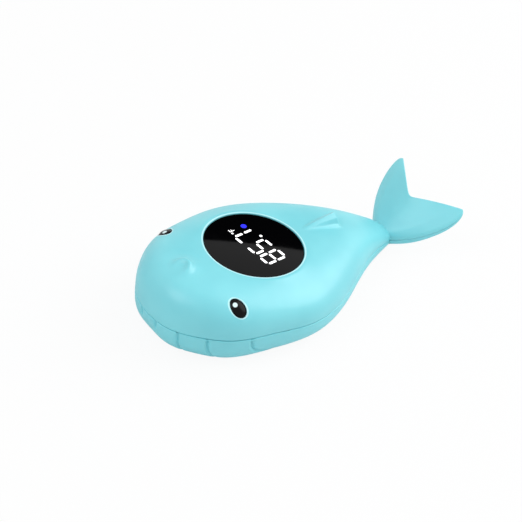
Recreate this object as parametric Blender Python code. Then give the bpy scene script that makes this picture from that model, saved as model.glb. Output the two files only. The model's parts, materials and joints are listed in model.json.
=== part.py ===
"""Floating bath thermometer in the shape of a small whale.

Metres, +Z up. The head faces -Y and the fluke +Y, and the flat belly rests on Z = 0.
The origin is under the middle of the body, halfway between the nose and the fluke tips.
Distances named "from the nose" are measured along +Y from the tip of the head.
"""
import math

import bmesh
import bpy
import numpy as np
from mathutils import Matrix, Vector

MM = 0.001

# Clearances
FIT_GAP = 0.3 * MM          # between two pieces that seat on each other
SEAM_GAP = 0.3 * MM         # open line between the upper and the lower shell

# Outer form of the body. Each station: distance from the nose, half width at the seam,
# rise of the back above the seam, depth of the belly under the seam, height of the seam.
LENGTH = 129.0 * MM         # nose to fluke tips
STATIONS = {
    "nose": (0.0 * MM, 0.0 * MM, 0.0 * MM, 0.0 * MM, 13.5 * MM),
    "snout": (1.6 * MM, 10.0 * MM, 9.6 * MM, 8.0 * MM, 13.9 * MM),
    "brow": (7.6 * MM, 18.5 * MM, 15.0 * MM, 11.6 * MM, 13.9 * MM),
    "eyes": (19.0 * MM, 26.7 * MM, 16.1 * MM, 13.9 * MM, 13.3 * MM),
    "shoulder": (34.5 * MM, 30.6 * MM, 14.9 * MM, 13.9 * MM, 13.0 * MM),
    "girth": (53.0 * MM, 31.4 * MM, 14.6 * MM, 11.9 * MM, 11.2 * MM),
    "loin": (73.5 * MM, 22.7 * MM, 13.6 * MM, 10.4 * MM, 9.7 * MM),
    "tail_root": (91.3 * MM, 11.8 * MM, 9.4 * MM, 7.8 * MM, 8.5 * MM),
    "tail_stem": (106.4 * MM, 5.3 * MM, 3.8 * MM, 3.0 * MM, 5.3 * MM),
}
BACK_FULLNESS = 2.8         # superellipse power of the section above the seam
BELLY_FULLNESS = 3.6        # and below it
WALL = 2.6 * MM             # moulded wall of both shells
FLOOR = 2.4 * MM            # thickness of the flat belly
FLAT_SNAP = 0.2 * MM        # belly points this close to the flat lie on it
HOLLOW_START = 0.5 * MM     # before the inset by the wall
HOLLOW_END = 95.0 * MM      # the shells are solid behind this distance from the nose

# Fluke: the half outline from the tail stem out to the tip, and the notch between the lobes
FLUKE_BEND = (14.1 * MM, 114.4 * MM, 9.4 * MM)
FLUKE_SWELL = (19.3 * MM, 125.0 * MM, 15.9 * MM)
FLUKE_TIP = (19.0 * MM, 128.0 * MM, 18.3 * MM)
FLUKE_TURN = (16.8 * MM, LENGTH, 19.1 * MM)
FLUKE_NOTCH = (0.0 * MM, 118.3 * MM, 17.1 * MM)
FLUKE_EDGE = 0.8 * MM       # half thickness at the trailing edge

# Display: a round flush lens in a raised lip, tilted a little towards the tail
DISPLAY_DISTANCE = 44.1 * MM
DISPLAY_HEIGHT = 26.1 * MM
DISPLAY_TILT = math.radians(6.0)
DIGIT_TURN = math.radians(187.0)    # the digits read from the tail's side, turned by 7 degrees
LENS_RADIUS = 18.2 * MM
LENS_THICKNESS = 1.6 * MM
LENS_GASKET_THICKNESS = 0.5 * MM
LENS_LEDGE_WIDTH = 1.7 * MM
LENS_LEDGE_THICKNESS = 1.8 * MM
LIP_WIDTH = 1.3 * MM
LIP_HEIGHT = 0.35 * MM
LIP_FLARE = 6.0 * MM
LIP_FLARE_HEIGHT = 3.0 * MM

# Lit parts under the lens, placed in the frame of the digits
MODULE_SIZE = (21.4 * MM, 12.0 * MM, 5.0 * MM)
MODULE_CENTRE = (-2.0 * MM, -1.3 * MM)
SEGMENT_LENGTH = 3.6 * MM
SEGMENT_WIDTH = 1.0 * MM
SEGMENT_PROUD = 0.15 * MM
DIGIT_SIZE = (4.7 * MM, 8.6 * MM)
DIGIT_CENTRES = (-8.4 * MM, -1.8 * MM, 4.7 * MM)
DIGIT_ROW = -1.3 * MM
SHOWN_SEGMENTS = ("abcdefg", "acdfg", "abc")
POINT_CENTRE = (1.6 * MM, -5.8 * MM)
UNIT_CENTRE = (10.8 * MM, 1.4 * MM)
UNIT_SIZE = 3.0 * MM
INDICATOR_CENTRE = (10.6 * MM, -4.1 * MM)
INDICATOR_RADIUS = 1.1 * MM

# Circuit board under the display
BOARD_RADIUS = 19.4 * MM
BOARD_THICKNESS = 1.2 * MM
CHIP_SIZE = (7.0 * MM, 7.0 * MM, 1.2 * MM)
CHIP_CENTRE = (0.0 * MM, -8.0 * MM)
POST_CIRCLE = 17.4 * MM
POST_RADIUS = 2.0 * MM
POST_ANGLES = (math.radians(-90.0), math.radians(30.0), math.radians(150.0))
SMALL_SCREW_RADIUS = 0.7 * MM
SMALL_SCREW_LENGTH = 4.6 * MM
SMALL_HEAD_RADIUS = 1.6 * MM
SMALL_HEAD_HEIGHT = 0.8 * MM

# Eyes: glossy ovals let into the shell
EYE_X = 22.9 * MM
EYE_DISTANCE = 21.3 * MM
EYE_HALF_LENGTH = 3.65 * MM
EYE_HALF_WIDTH = 2.6 * MM
EYE_DEPTH = 1.3 * MM
EYE_PROUD = 0.5 * MM
EYE_LEAN = math.radians(13.0)

# Blowhole, dorsal fin and belly pleats
BLOWHOLE_DISTANCE = 15.0 * MM
BLOWHOLE_RADII = (5.0 * MM, 4.6 * MM, 2.2 * MM)
DIMPLE_DISTANCE = 13.6 * MM
DIMPLE_RADIUS = 1.8 * MM
FIN_FRONT = 66.0 * MM
FIN_PEAK = 80.6 * MM
FIN_BACK = 81.6 * MM
FIN_HEIGHT = 4.6 * MM
FIN_HALF_WIDTH = 4.4 * MM
FIN_ROOT = 1.6 * MM
PLEAT_OFFSETS = (4.2 * MM, 13.5 * MM, 21.3 * MM, 28.6 * MM)
PLEAT_RADIUS = 0.8 * MM
PLEAT_DEPTH = 0.5 * MM
PLEAT_END_ANGLE = math.radians(62.0)

# Seam gasket, and how far its middle lies inside the outer surface
GASKET_RADIUS = 0.4 * MM
GASKET_INSET = 1.5 * MM

# Screws that hold the shells together, from below. Each place: distance from the middle,
# distance from the nose, height of the shoulder that the screw's head pulls on.
BOSS_PLACES = ((17.5 * MM, 28.5 * MM, 7.0 * MM), (8.6 * MM, 85.5 * MM, 4.0 * MM))
BOSS_RADIUS = 3.2 * MM
BOSS_SEAM_GAP = 0.4 * MM    # from the middle of the seam to each boss's end
SCREW_RADIUS = 1.1 * MM
SCREW_LENGTH = 12.0 * MM
HEAD_RADIUS = 2.0 * MM
HEAD_HEIGHT = 1.4 * MM

# Two slim cells side by side, along the body, and their bay
CELL_RADIUS = 5.25 * MM
CELL_LENGTH = 44.5 * MM
CELL_NUB_RADIUS = 1.9 * MM
CELL_NUB_LENGTH = 1.0 * MM
CELL_SPACING = 0.8 * MM
SPRING_LENGTH = 3.5 * MM
SPRING_RADIUS = 2.6 * MM
SPRING_WIRE = 0.35 * MM
SPRING_TURNS = 3
PLATE_THICKNESS = 0.4 * MM
PLATE_HEIGHT = 8.0 * MM
TAB_WIDTH = 2.4 * MM
TAB_REACH = 1.6 * MM
BAY_START = 22.5 * MM
BAY_WALL = 1.2 * MM
BAY_SIDE_GAP = 0.5 * MM
DOOR_THICKNESS = 1.8 * MM
DOOR_SUNK = 0.2 * MM
DOOR_OVERLAP = 2.2 * MM
DOOR_END_OVERLAP = 5.6 * MM
DOOR_GASKET_THICKNESS = 0.5 * MM
DOOR_GASKET_WIDTH = 1.2 * MM
DOOR_LEDGE = 1.8 * MM
DOOR_SCREW_INSET = 2.8 * MM
DOOR_BOSS_RADIUS = 2.6 * MM
DOOR_BOSS_HEIGHT = 7.4 * MM
DOOR_SCREW_LENGTH = 4.0 * MM
DOOR_HEAD_HEIGHT = 0.8 * MM

# Temperature probe and the two pins that wake the thermometer in water
PROBE_DISTANCE = 85.5 * MM
PROBE_RADIUS = 2.6 * MM
PROBE_WALL = 0.5 * MM
PROBE_HEIGHT = 5.4 * MM
PROBE_FLANGE = 1.0 * MM
THERMISTOR_RADIUS = 1.2 * MM
PIN_PLACE = (17.6 * MM, 58.0 * MM)
PIN_RADIUS = 0.8 * MM
PIN_HEAD_RADIUS = 1.7 * MM
PIN_HEAD_HEIGHT = 0.7 * MM
PIN_LENGTH = 4.6 * MM

# Leads, and where each meets the board's edge, measured from the tail's side
LEAD_RADIUS = 0.45 * MM
SENSOR_LEAD_X = 0.8 * MM
BATTERY_RIM_ANGLE = math.radians(18.0)
SENSOR_RIM_ANGLE = math.radians(7.0)
PIN_RIM_ANGLE = math.radians(45.0)

# Mesh fineness
SECTION_STEPS = 16
BODY_STEPS = 16
FLUKE_STEPS = 8
ROUND_STEPS = 32

# Colours (linear), roughness and metallic value of each material
LOOKS = {
    "turquoise_plastic": ((0.20, 0.67, 0.74, 1.0), 0.45, 0.0),
    "black_gloss": ((0.01, 0.01, 0.012, 1.0), 0.08, 0.0),
    "lens_smoke": ((0.006, 0.006, 0.007, 1.0), 0.05, 0.0),
    "white_plastic": ((0.8, 0.8, 0.78, 1.0), 0.4, 0.0),
    "blue_lamp": ((0.05, 0.25, 0.9, 1.0), 0.3, 0.0),
    "silicone_seal": ((0.55, 0.57, 0.58, 1.0), 0.6, 0.0),
    "circuit_board": ((0.02, 0.2, 0.08, 1.0), 0.45, 0.0),
    "chip_black": ((0.02, 0.02, 0.02, 1.0), 0.5, 0.0),
    "steel": ((0.6, 0.6, 0.6, 1.0), 0.25, 1.0),
    "cell_sleeve": ((0.05, 0.25, 0.2, 1.0), 0.35, 0.0),
    "red_lead": ((0.6, 0.03, 0.03, 1.0), 0.5, 0.0),
    "black_lead": ((0.02, 0.02, 0.02, 1.0), 0.5, 0.0),
}


def along(distance):
    """Y of a place given by its distance from the nose."""
    return distance - LENGTH / 2


def smooth_curve(knots, values):
    """Natural cubic spline through the values at the knots."""
    knots = np.asarray(knots, float)
    values = np.asarray(values, float)
    step = np.diff(knots)
    count = len(knots)
    system = np.eye(count)
    bend = np.zeros(count)
    for i in range(1, count - 1):
        system[i, i - 1:i + 2] = step[i - 1], 2 * (step[i - 1] + step[i]), step[i]
        rise = (values[i + 1] - values[i]) / step[i]
        run = (values[i] - values[i - 1]) / step[i - 1]
        bend[i] = 6 * (rise - run)
    second = np.linalg.solve(system, bend)

    def at(place):
        i = int(np.clip(np.searchsorted(knots, place, side="right") - 1, 0, count - 2))
        a = (knots[i + 1] - place) / step[i]
        b = (place - knots[i]) / step[i]
        bow = ((a ** 3 - a) * second[i] + (b ** 3 - b) * second[i + 1]) * step[i] ** 2 / 6
        return a * values[i] + b * values[i + 1] + bow

    return at


ROWS = list(STATIONS.values())
ROOTS = [math.sqrt(row[0]) for row in ROWS]
HALF_WIDTH = smooth_curve(ROOTS, [row[1] for row in ROWS])
RISE = smooth_curve(ROOTS, [row[2] for row in ROWS])
DEPTH = smooth_curve(ROOTS, [row[3] for row in ROWS])
SEAM_HEIGHT = smooth_curve(ROOTS, [row[4] for row in ROWS])
STEM = STATIONS["tail_stem"]


def body_section(root, inset):
    """Plan and profile of the body at the square root of a distance, moved in by inset."""
    small = 1e-4
    ahead = root + small
    dy = ahead ** 2 - root ** 2
    width = HALF_WIDTH(root)
    rise = RISE(root)
    depth = DEPTH(root)
    d_width = HALF_WIDTH(ahead) - width
    d_rise = RISE(ahead) - rise
    d_depth = DEPTH(ahead) - depth
    slant = math.hypot(dy, d_width)
    distance = root ** 2 + inset * d_width / slant
    width -= inset * dy / slant
    rise -= inset * dy / math.hypot(dy, d_rise)
    depth -= inset * dy / math.hypot(dy, d_depth)
    return distance, width, rise, depth, SEAM_HEIGHT(root)


def arch(power, part):
    """Across and up shares of a superellipse section, part running from 0 to 1 over the back."""
    angle = math.pi * part
    across = math.cos(angle)
    across = math.copysign(abs(across) ** (2 / power), across)
    up = abs(math.sin(angle)) ** (2 / power)
    return across, up


def body_rows(upper, inset, first, last, cap_shift, floor):
    """Rows of outer and cap points of half the body, between two distances from the nose."""
    outer, cap = [], []
    power = BACK_FULLNESS if upper else BELLY_FULLNESS
    side = 1 if upper else -1
    roots = np.linspace(math.sqrt(first), math.sqrt(last), BODY_STEPS + 1)
    for root in roots:
        distance, width, rise, depth, seam = body_section(float(root), inset)
        height = rise if upper else depth
        start = seam + cap_shift
        outer_row, cap_row = [], []
        for j in range(SECTION_STEPS + 1):
            across, up = arch(power, j / SECTION_STEPS)
            reach = start + side * max(height - side * cap_shift, 0.0) * up
            spot = (across * width, along(distance))
            outer_row.append((*spot, floor if reach < floor + FLAT_SNAP else reach))
            cap_row.append((*spot, start))
        outer.append(outer_row)
        cap.append(cap_row)
    return outer, cap


def fluke_rows(upper, cap_shift):
    """Rows of half the fluke, from the tail stem to the trailing edge."""
    knots = (0.0, 0.36, 0.72, 0.88, 1.0)
    rim = [(STEM[1], STEM[0], STEM[4]), FLUKE_BEND, FLUKE_SWELL, FLUKE_TIP, FLUKE_TURN]
    rim_curves = [smooth_curve(knots, [point[k] for point in rim]) for k in range(3)]
    centre = [(0.0, STEM[0], STEM[4]), FLUKE_NOTCH]
    side = 1 if upper else -1
    first_height = STEM[2] if upper else STEM[3]
    first_power = BACK_FULLNESS if upper else BELLY_FULLNESS
    outer, cap = [], []
    for i in range(1, FLUKE_STEPS + 1):
        q = i / FLUKE_STEPS
        rim_point = [curve(q) for curve in rim_curves]
        mid_point = [a + (b - a) * q for a, b in zip(*centre)]
        height = FLUKE_EDGE + (first_height - FLUKE_EDGE) * (1 - q) ** 2
        outer_row, cap_row = [], []
        for j in range(SECTION_STEPS + 1):
            across, up = arch(first_power, j / SECTION_STEPS)
            share = abs(across)
            y = mid_point[1] + (rim_point[1] - mid_point[1]) * share
            z = mid_point[2] + (rim_point[2] - mid_point[2]) * share + cap_shift
            lift = side * (height - side * cap_shift) * up
            outer_row.append((across * rim_point[0], along(y), z + lift))
            cap_row.append((across * rim_point[0], along(y), z))
        outer.append(outer_row)
        cap.append(cap_row)
    return outer, cap


def back_height(x, distance):
    """Height of the outer surface of the back over a place."""
    _, width, rise, _, seam = body_section(math.sqrt(distance), 0.0)
    share = min(abs(x) / width, 1.0)
    return seam + rise * (1 - share ** BACK_FULLNESS) ** (1 / BACK_FULLNESS)


def back_frame(x, distance, lean):
    """Frame on the back: Z out of the surface, X up the slope, turned by lean."""
    step = 0.2 * MM
    here = Vector((x, along(distance), back_height(x, distance)))
    slope_x = back_height(x + step, distance) - back_height(x - step, distance)
    slope_y = back_height(x, distance + step) - back_height(x, distance - step)
    out = Vector((-slope_x, -slope_y, 2 * step)).normalized()
    uphill = Vector((-math.copysign(1.0, x), 0.0, 0.0))
    uphill = (uphill - out * uphill.dot(out)).normalized()
    turn = Matrix.Rotation(math.copysign(lean, x), 3, out)
    uphill = turn @ uphill
    side = out.cross(uphill)
    rotation = Matrix((uphill, side, out)).transposed()
    return Matrix.Translation(here) @ rotation.to_4x4()


def clear_scene():
    for item in list(bpy.data.objects):
        bpy.data.objects.remove(item, do_unlink=True)
    for group in list(bpy.data.collections):
        bpy.data.collections.remove(group)


def new_collection(name):
    group = bpy.data.collections.new(name)
    bpy.context.scene.collection.children.link(group)
    return group


def make_material(name):
    colour, roughness, metallic = LOOKS[name]
    material = bpy.data.materials.new(name)
    material.use_nodes = True
    shader = material.node_tree.nodes["Principled BSDF"]
    shader.inputs["Base Color"].default_value = colour
    shader.inputs["Roughness"].default_value = roughness
    shader.inputs["Metallic"].default_value = metallic
    material.diffuse_color = colour
    return material


def piece(name, mesh, look, place=None):
    """A sub-part of the thermometer."""
    item = bpy.data.objects.new(name, mesh)
    mesh.materials.clear()
    mesh.materials.append(MATERIALS[look])
    PARTS.objects.link(item)
    if place is not None:
        item.matrix_world = place
    return item


def tool(name, mesh, place=None):
    """A shape that only cuts or joins others."""
    item = bpy.data.objects.new(name, mesh)
    item.hide_render = True
    item.display_type = "WIRE"
    TOOLS.objects.link(item)
    if place is not None:
        item.matrix_world = place
    return item


def combine(target, operand, operation):
    modifier = target.modifiers.new(operand.name, "BOOLEAN")
    modifier.operation = operation
    modifier.solver = "EXACT"
    modifier.object = operand


def cut(target, operand):
    combine(target, operand, "DIFFERENCE")


def join(target, operand):
    combine(target, operand, "UNION")


def finish_mesh(shape, name, smooth=False):
    bmesh.ops.recalc_face_normals(shape, faces=shape.faces)
    mesh = bpy.data.meshes.new(name)
    shape.to_mesh(mesh)
    shape.free()
    if smooth:
        mesh.shade_smooth()
        mesh.set_sharp_from_angle(angle=math.radians(35.0))
    return mesh


def loft_mesh(name, outer, cap):
    """Closed solid between two grids of points with the same rows."""
    shape = bmesh.new()
    top = [[shape.verts.new(point) for point in row] for row in outer]
    under = [[shape.verts.new(point) for point in row] for row in cap]
    for grid in (top, under):
        for row, following in zip(grid, grid[1:]):
            for j in range(len(row) - 1):
                shape.faces.new((row[j], row[j + 1], following[j + 1], following[j]))
    for i in range(len(top) - 1):
        for j in (0, -1):
            shape.faces.new((top[i][j], top[i + 1][j], under[i + 1][j], under[i][j]))
    for i in (0, -1):
        for j in range(len(top[i]) - 1):
            shape.faces.new((top[i][j], top[i][j + 1], under[i][j + 1], under[i][j]))
    bmesh.ops.remove_doubles(shape, verts=shape.verts, dist=1e-6)
    bmesh.ops.triangulate(shape, faces=shape.faces)
    return finish_mesh(shape, name, smooth=True)


def box_mesh(name, low, high):
    shape = bmesh.new()
    bmesh.ops.create_cube(shape, size=1.0)
    size = Vector(high) - Vector(low)
    middle = (Vector(high) + Vector(low)) / 2
    bmesh.ops.scale(shape, vec=size, verts=shape.verts)
    bmesh.ops.translate(shape, vec=middle, verts=shape.verts)
    return finish_mesh(shape, name)


def rod_mesh(name, radius, low, high, top_radius=None, steps=ROUND_STEPS):
    """Upright cylinder or cone between two heights."""
    shape = bmesh.new()
    upper = radius if top_radius is None else top_radius
    bmesh.ops.create_cone(shape, cap_ends=True, segments=steps, radius1=radius,
                          radius2=upper, depth=high - low)
    bmesh.ops.translate(shape, vec=(0, 0, (low + high) / 2), verts=shape.verts)
    return finish_mesh(shape, name, smooth=True)


def ball_mesh(name, radii, u_steps=18, v_steps=10):
    shape = bmesh.new()
    bmesh.ops.create_uvsphere(shape, u_segments=u_steps, v_segments=v_steps, radius=1.0)
    bmesh.ops.scale(shape, vec=radii, verts=shape.verts)
    return finish_mesh(shape, name, smooth=True)


def turned_mesh(name, profile, steps=24):
    """Solid turned about Z from a closed profile of (radius, height) points."""
    shape = bmesh.new()
    points = [shape.verts.new((r, 0.0, z)) for r, z in profile]
    edges = [shape.edges.new((a, b)) for a, b in zip(points, points[1:])]
    bmesh.ops.spin(shape, geom=points + edges, cent=(0, 0, 0), axis=(0, 0, 1),
                   angle=2 * math.pi, steps=steps, use_merge=True)
    bmesh.ops.remove_doubles(shape, verts=shape.verts, dist=1e-6)
    return finish_mesh(shape, name, smooth=True)


def tube_mesh(name, points, radius, closed=False, fineness=1):
    """Round tube along a list of points, as a closed mesh."""
    curve = bpy.data.curves.new(name + "_path", "CURVE")
    curve.dimensions = "3D"
    curve.bevel_depth = radius
    curve.bevel_resolution = fineness
    curve.use_fill_caps = not closed
    spline = curve.splines.new("POLY")
    spline.points.add(len(points) - 1)
    for point, place in zip(spline.points, points):
        point.co = (*place, 1.0)
    spline.use_cyclic_u = closed
    holder = bpy.data.objects.new(name + "_path", curve)
    bpy.context.scene.collection.objects.link(holder)
    view = bpy.context.evaluated_depsgraph_get()
    mesh = bpy.data.meshes.new_from_object(holder.evaluated_get(view))
    bpy.data.objects.remove(holder, do_unlink=True)
    bpy.data.curves.remove(curve)
    shape = bmesh.new()
    shape.from_mesh(mesh)
    bpy.data.meshes.remove(mesh)
    bmesh.ops.remove_doubles(shape, verts=shape.verts, dist=1e-7)
    return finish_mesh(shape, name, smooth=True)


def at(x, y, z=0.0):
    return Matrix.Translation((x, y, z))


def display_place(x=0.0, y=0.0, z=0.0):
    """Place in the display's tilted frame, whose Z = 0 is the face of the lens."""
    frame = at(0.0, along(DISPLAY_DISTANCE), DISPLAY_HEIGHT)
    tilt = Matrix.Rotation(-DISPLAY_TILT, 4, "X")
    return frame @ tilt @ at(x, y, z)


def digit_place():
    return display_place() @ Matrix.Rotation(DIGIT_TURN, 4, "Z")


# Heights in the display's frame, from the face of the lens down
LENS_UNDER = -LENS_THICKNESS
LENS_SEAT = LENS_UNDER - LENS_GASKET_THICKNESS - 2 * FIT_GAP
LEDGE_UNDER = LENS_SEAT - LENS_LEDGE_THICKNESS
WINDOW_RADIUS = LENS_RADIUS - LENS_LEDGE_WIDTH
LIP_RADIUS = LENS_RADIUS + FIT_GAP + LIP_WIDTH
LAMP_TOP = LENS_UNDER - FIT_GAP - SEGMENT_PROUD
LAMP_FOOT = LAMP_TOP - MODULE_SIZE[2]
BOARD_TOP = LAMP_FOOT - FIT_GAP
BOARD_UNDER = BOARD_TOP - BOARD_THICKNESS

# Sizes of the battery bay, from the cells
CELL_X = CELL_RADIUS + CELL_SPACING / 2
BAY_HALF_WIDTH = CELL_X + CELL_RADIUS + BAY_SIDE_GAP
BAY_LENGTH = CELL_LENGTH + SPRING_LENGTH + 2 * PLATE_THICKNESS + 5 * FIT_GAP
BAY_END = BAY_START + BAY_LENGTH
DOOR_TOP = DOOR_SUNK + DOOR_THICKNESS
DOOR_SEAT = DOOR_TOP + DOOR_GASKET_THICKNESS + 2 * FIT_GAP
PAD_TOP = DOOR_SEAT + DOOR_LEDGE
CELL_HEIGHT = DOOR_SEAT + CELL_RADIUS
BAY_TOP = CELL_HEIGHT + CELL_RADIUS + FIT_GAP
DOOR_HALF_WIDTH = BAY_HALF_WIDTH + DOOR_OVERLAP
DOOR_START = BAY_START - DOOR_END_OVERLAP
DOOR_END = BAY_END + DOOR_END_OVERLAP
DOOR_SCREW_PLACES = (DOOR_START + DOOR_SCREW_INSET, DOOR_END - DOOR_SCREW_INSET)


def lower_surface_pleat(offset):
    """Points where an upright plane at a side offset meets the belly, from the seam down.

    They lie outside the surface by what the pleat's round tool is wider than it is deep.
    """
    outset = PLEAT_RADIUS - PLEAT_DEPTH
    widest = math.sqrt(STATIONS["girth"][0] * 0.9)
    points = []
    for k in range(9):
        angle = PLEAT_END_ANGLE * k / 8
        across = math.cos(angle) ** (2 / BELLY_FULLNESS)
        down = math.sin(angle) ** (2 / BELLY_FULLNESS)
        low, high = ROOTS[0], widest
        if body_section(high, -outset)[1] * across < offset:
            break
        for _ in range(30):
            middle = (low + high) / 2
            if body_section(middle, -outset)[1] * across < offset:
                low = middle
            else:
                high = middle
        distance, _, _, depth, seam = body_section(high, -outset)
        points.append((offset, along(distance), max(seam - depth * down, -outset)))
    start = points[0]
    return [(start[0], start[1], start[2] + 1.5 * MM)] + points


def shell_upper():
    outer, cap = body_rows(True, 0.0, 0.0, STEM[0], SEAM_GAP / 2, 0.0)
    fluke_outer, fluke_cap = fluke_rows(True, SEAM_GAP / 2)
    shell = piece("upper_shell", loft_mesh("upper_shell", outer + fluke_outer, cap + fluke_cap),
                  "turquoise_plastic")
    hollow_rows = body_rows(True, WALL, HOLLOW_START, HOLLOW_END, -1.0 * MM, 0.0)
    hollow = tool("hollow_upper", loft_mesh("hollow_upper", *hollow_rows))
    for boss in upper_bosses():
        cut(hollow, boss)
    blowhole_z = back_height(0.0, BLOWHOLE_DISTANCE)
    blowhole = tool("blowhole_mound", ball_mesh("blowhole_mound", BLOWHOLE_RADII),
                    at(0.0, along(BLOWHOLE_DISTANCE), blowhole_z - 0.4 * MM))
    dimple = tool("blowhole_dimple", ball_mesh("blowhole_dimple", (DIMPLE_RADIUS,) * 3, 16, 10),
                  at(0.0, along(DIMPLE_DISTANCE), blowhole_z + BLOWHOLE_RADII[2]))
    collar = tool("display_collar", rod_mesh("display_collar", LIP_RADIUS, LEDGE_UNDER,
                                             LIP_HEIGHT, steps=48), display_place())
    flare = tool("display_flare", rod_mesh("display_flare", LIP_RADIUS, LIP_HEIGHT,
                                           LIP_HEIGHT + LIP_FLARE_HEIGHT,
                                           LIP_RADIUS + LIP_FLARE, 48), display_place())
    seat = tool("lens_seat", rod_mesh("lens_seat", LENS_RADIUS + FIT_GAP, LENS_SEAT,
                                      LIP_HEIGHT + 1.0 * MM, steps=48), display_place())
    window = tool("lens_window", rod_mesh("lens_window", WINDOW_RADIUS, LEDGE_UNDER - 1.0 * MM,
                                          LENS_SEAT + 1.0 * MM, steps=48), display_place())
    join(shell, blowhole)
    join(shell, fin_tool())
    cut(shell, flare)
    cut(shell, dimple)
    cut(shell, hollow)
    join(shell, collar)
    for post in board_posts():
        join(shell, post)
    cut(shell, seat)
    cut(shell, window)
    for hole in board_pilot_holes() + shell_pilot_holes() + eye_sockets():
        cut(shell, hole)
    return shell


def fin_tool():
    """Swept wedge on the back, broad behind and fading forward."""
    outer, cap = [], []
    steps = 8
    for i in range(steps + 1):
        share = i / steps
        distance = FIN_FRONT + (FIN_PEAK - FIN_FRONT) * share
        if i == steps:
            distance = FIN_BACK
        ridge = back_height(0.0, FIN_FRONT + (FIN_PEAK - FIN_FRONT) * share)
        lift = FIN_HEIGHT * share ** 1.3
        half = 0.4 * MM + (FIN_HALF_WIDTH - 0.4 * MM) * share ** 0.8
        floor = ridge - FIN_ROOT
        outer_row, cap_row = [], []
        for j in range(11):
            across, up = arch(1.7, j / 10)
            outer_row.append((across * half, along(distance), floor + (lift + FIN_ROOT) * up))
            cap_row.append((across * half, along(distance), floor))
        outer.append(outer_row)
        cap.append(cap_row)
    return tool("dorsal_fin", loft_mesh("dorsal_fin", outer, cap))


def post_places():
    return [(POST_CIRCLE * math.cos(a), POST_CIRCLE * math.sin(a)) for a in POST_ANGLES]


def board_posts():
    posts = []
    for i, (x, y) in enumerate(post_places()):
        mesh = rod_mesh(f"board_post_{i}", POST_RADIUS, BOARD_TOP + FIT_GAP, LEDGE_UNDER + 0.8 * MM,
                        steps=16)
        posts.append(tool(f"board_post_{i}", mesh, display_place(x, y)))
    return posts


def board_pilot_holes():
    holes = []
    for i, (x, y) in enumerate(post_places()):
        top = BOARD_UNDER - FIT_GAP + SMALL_SCREW_LENGTH + FIT_GAP
        mesh = rod_mesh(f"board_pilot_{i}", SMALL_SCREW_RADIUS + FIT_GAP, BOARD_UNDER, top, steps=12)
        holes.append(tool(f"board_pilot_{i}", mesh, display_place(x, y)))
    return holes


def boss_places():
    return [(side * x, distance, seat) for x, distance, seat in BOSS_PLACES for side in (-1, 1)]


def upper_bosses():
    """Tall rods: only what lies in the room inside the shell stays as a boss."""
    bosses = []
    for i, (x, distance, _) in enumerate(boss_places()):
        low = SEAM_HEIGHT(math.sqrt(distance)) + BOSS_SEAM_GAP
        mesh = rod_mesh(f"upper_boss_{i}", BOSS_RADIUS, low, low + LENGTH / 2, steps=20)
        bosses.append(tool(f"upper_boss_{i}", mesh, at(x, along(distance))))
    return bosses


def lower_bosses():
    bosses = []
    for i, (x, distance, _) in enumerate(boss_places()):
        top = SEAM_HEIGHT(math.sqrt(distance)) - BOSS_SEAM_GAP
        mesh = rod_mesh(f"lower_boss_{i}", BOSS_RADIUS, -FLOOR, top, steps=20)
        bosses.append(tool(f"lower_boss_{i}", mesh, at(x, along(distance))))
    return bosses


def shell_pilot_holes():
    holes = []
    for i, (x, distance, seat) in enumerate(boss_places()):
        mesh = rod_mesh(f"shell_pilot_{i}", SCREW_RADIUS + FIT_GAP, seat, seat + SCREW_LENGTH,
                        steps=16)
        holes.append(tool(f"shell_pilot_{i}", mesh, at(x, along(distance))))
    return holes


def eye_places():
    for side, name in ((-1, "left"), (1, "right")):
        frame = back_frame(side * EYE_X, EYE_DISTANCE, EYE_LEAN)
        yield name, frame @ at(0.0, 0.0, EYE_PROUD - EYE_DEPTH)


def eye_sockets():
    radii = (EYE_HALF_LENGTH + FIT_GAP, EYE_HALF_WIDTH + FIT_GAP, EYE_DEPTH + FIT_GAP)
    sockets = []
    for name, place in eye_places():
        sockets.append(tool("eye_socket_" + name, ball_mesh("eye_socket_" + name, radii), place))
    return sockets


def eyes():
    radii = (EYE_HALF_LENGTH, EYE_HALF_WIDTH, EYE_DEPTH)
    for name, place in eye_places():
        piece("eye_" + name, ball_mesh("eye_" + name, radii), "black_gloss", place)


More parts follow.
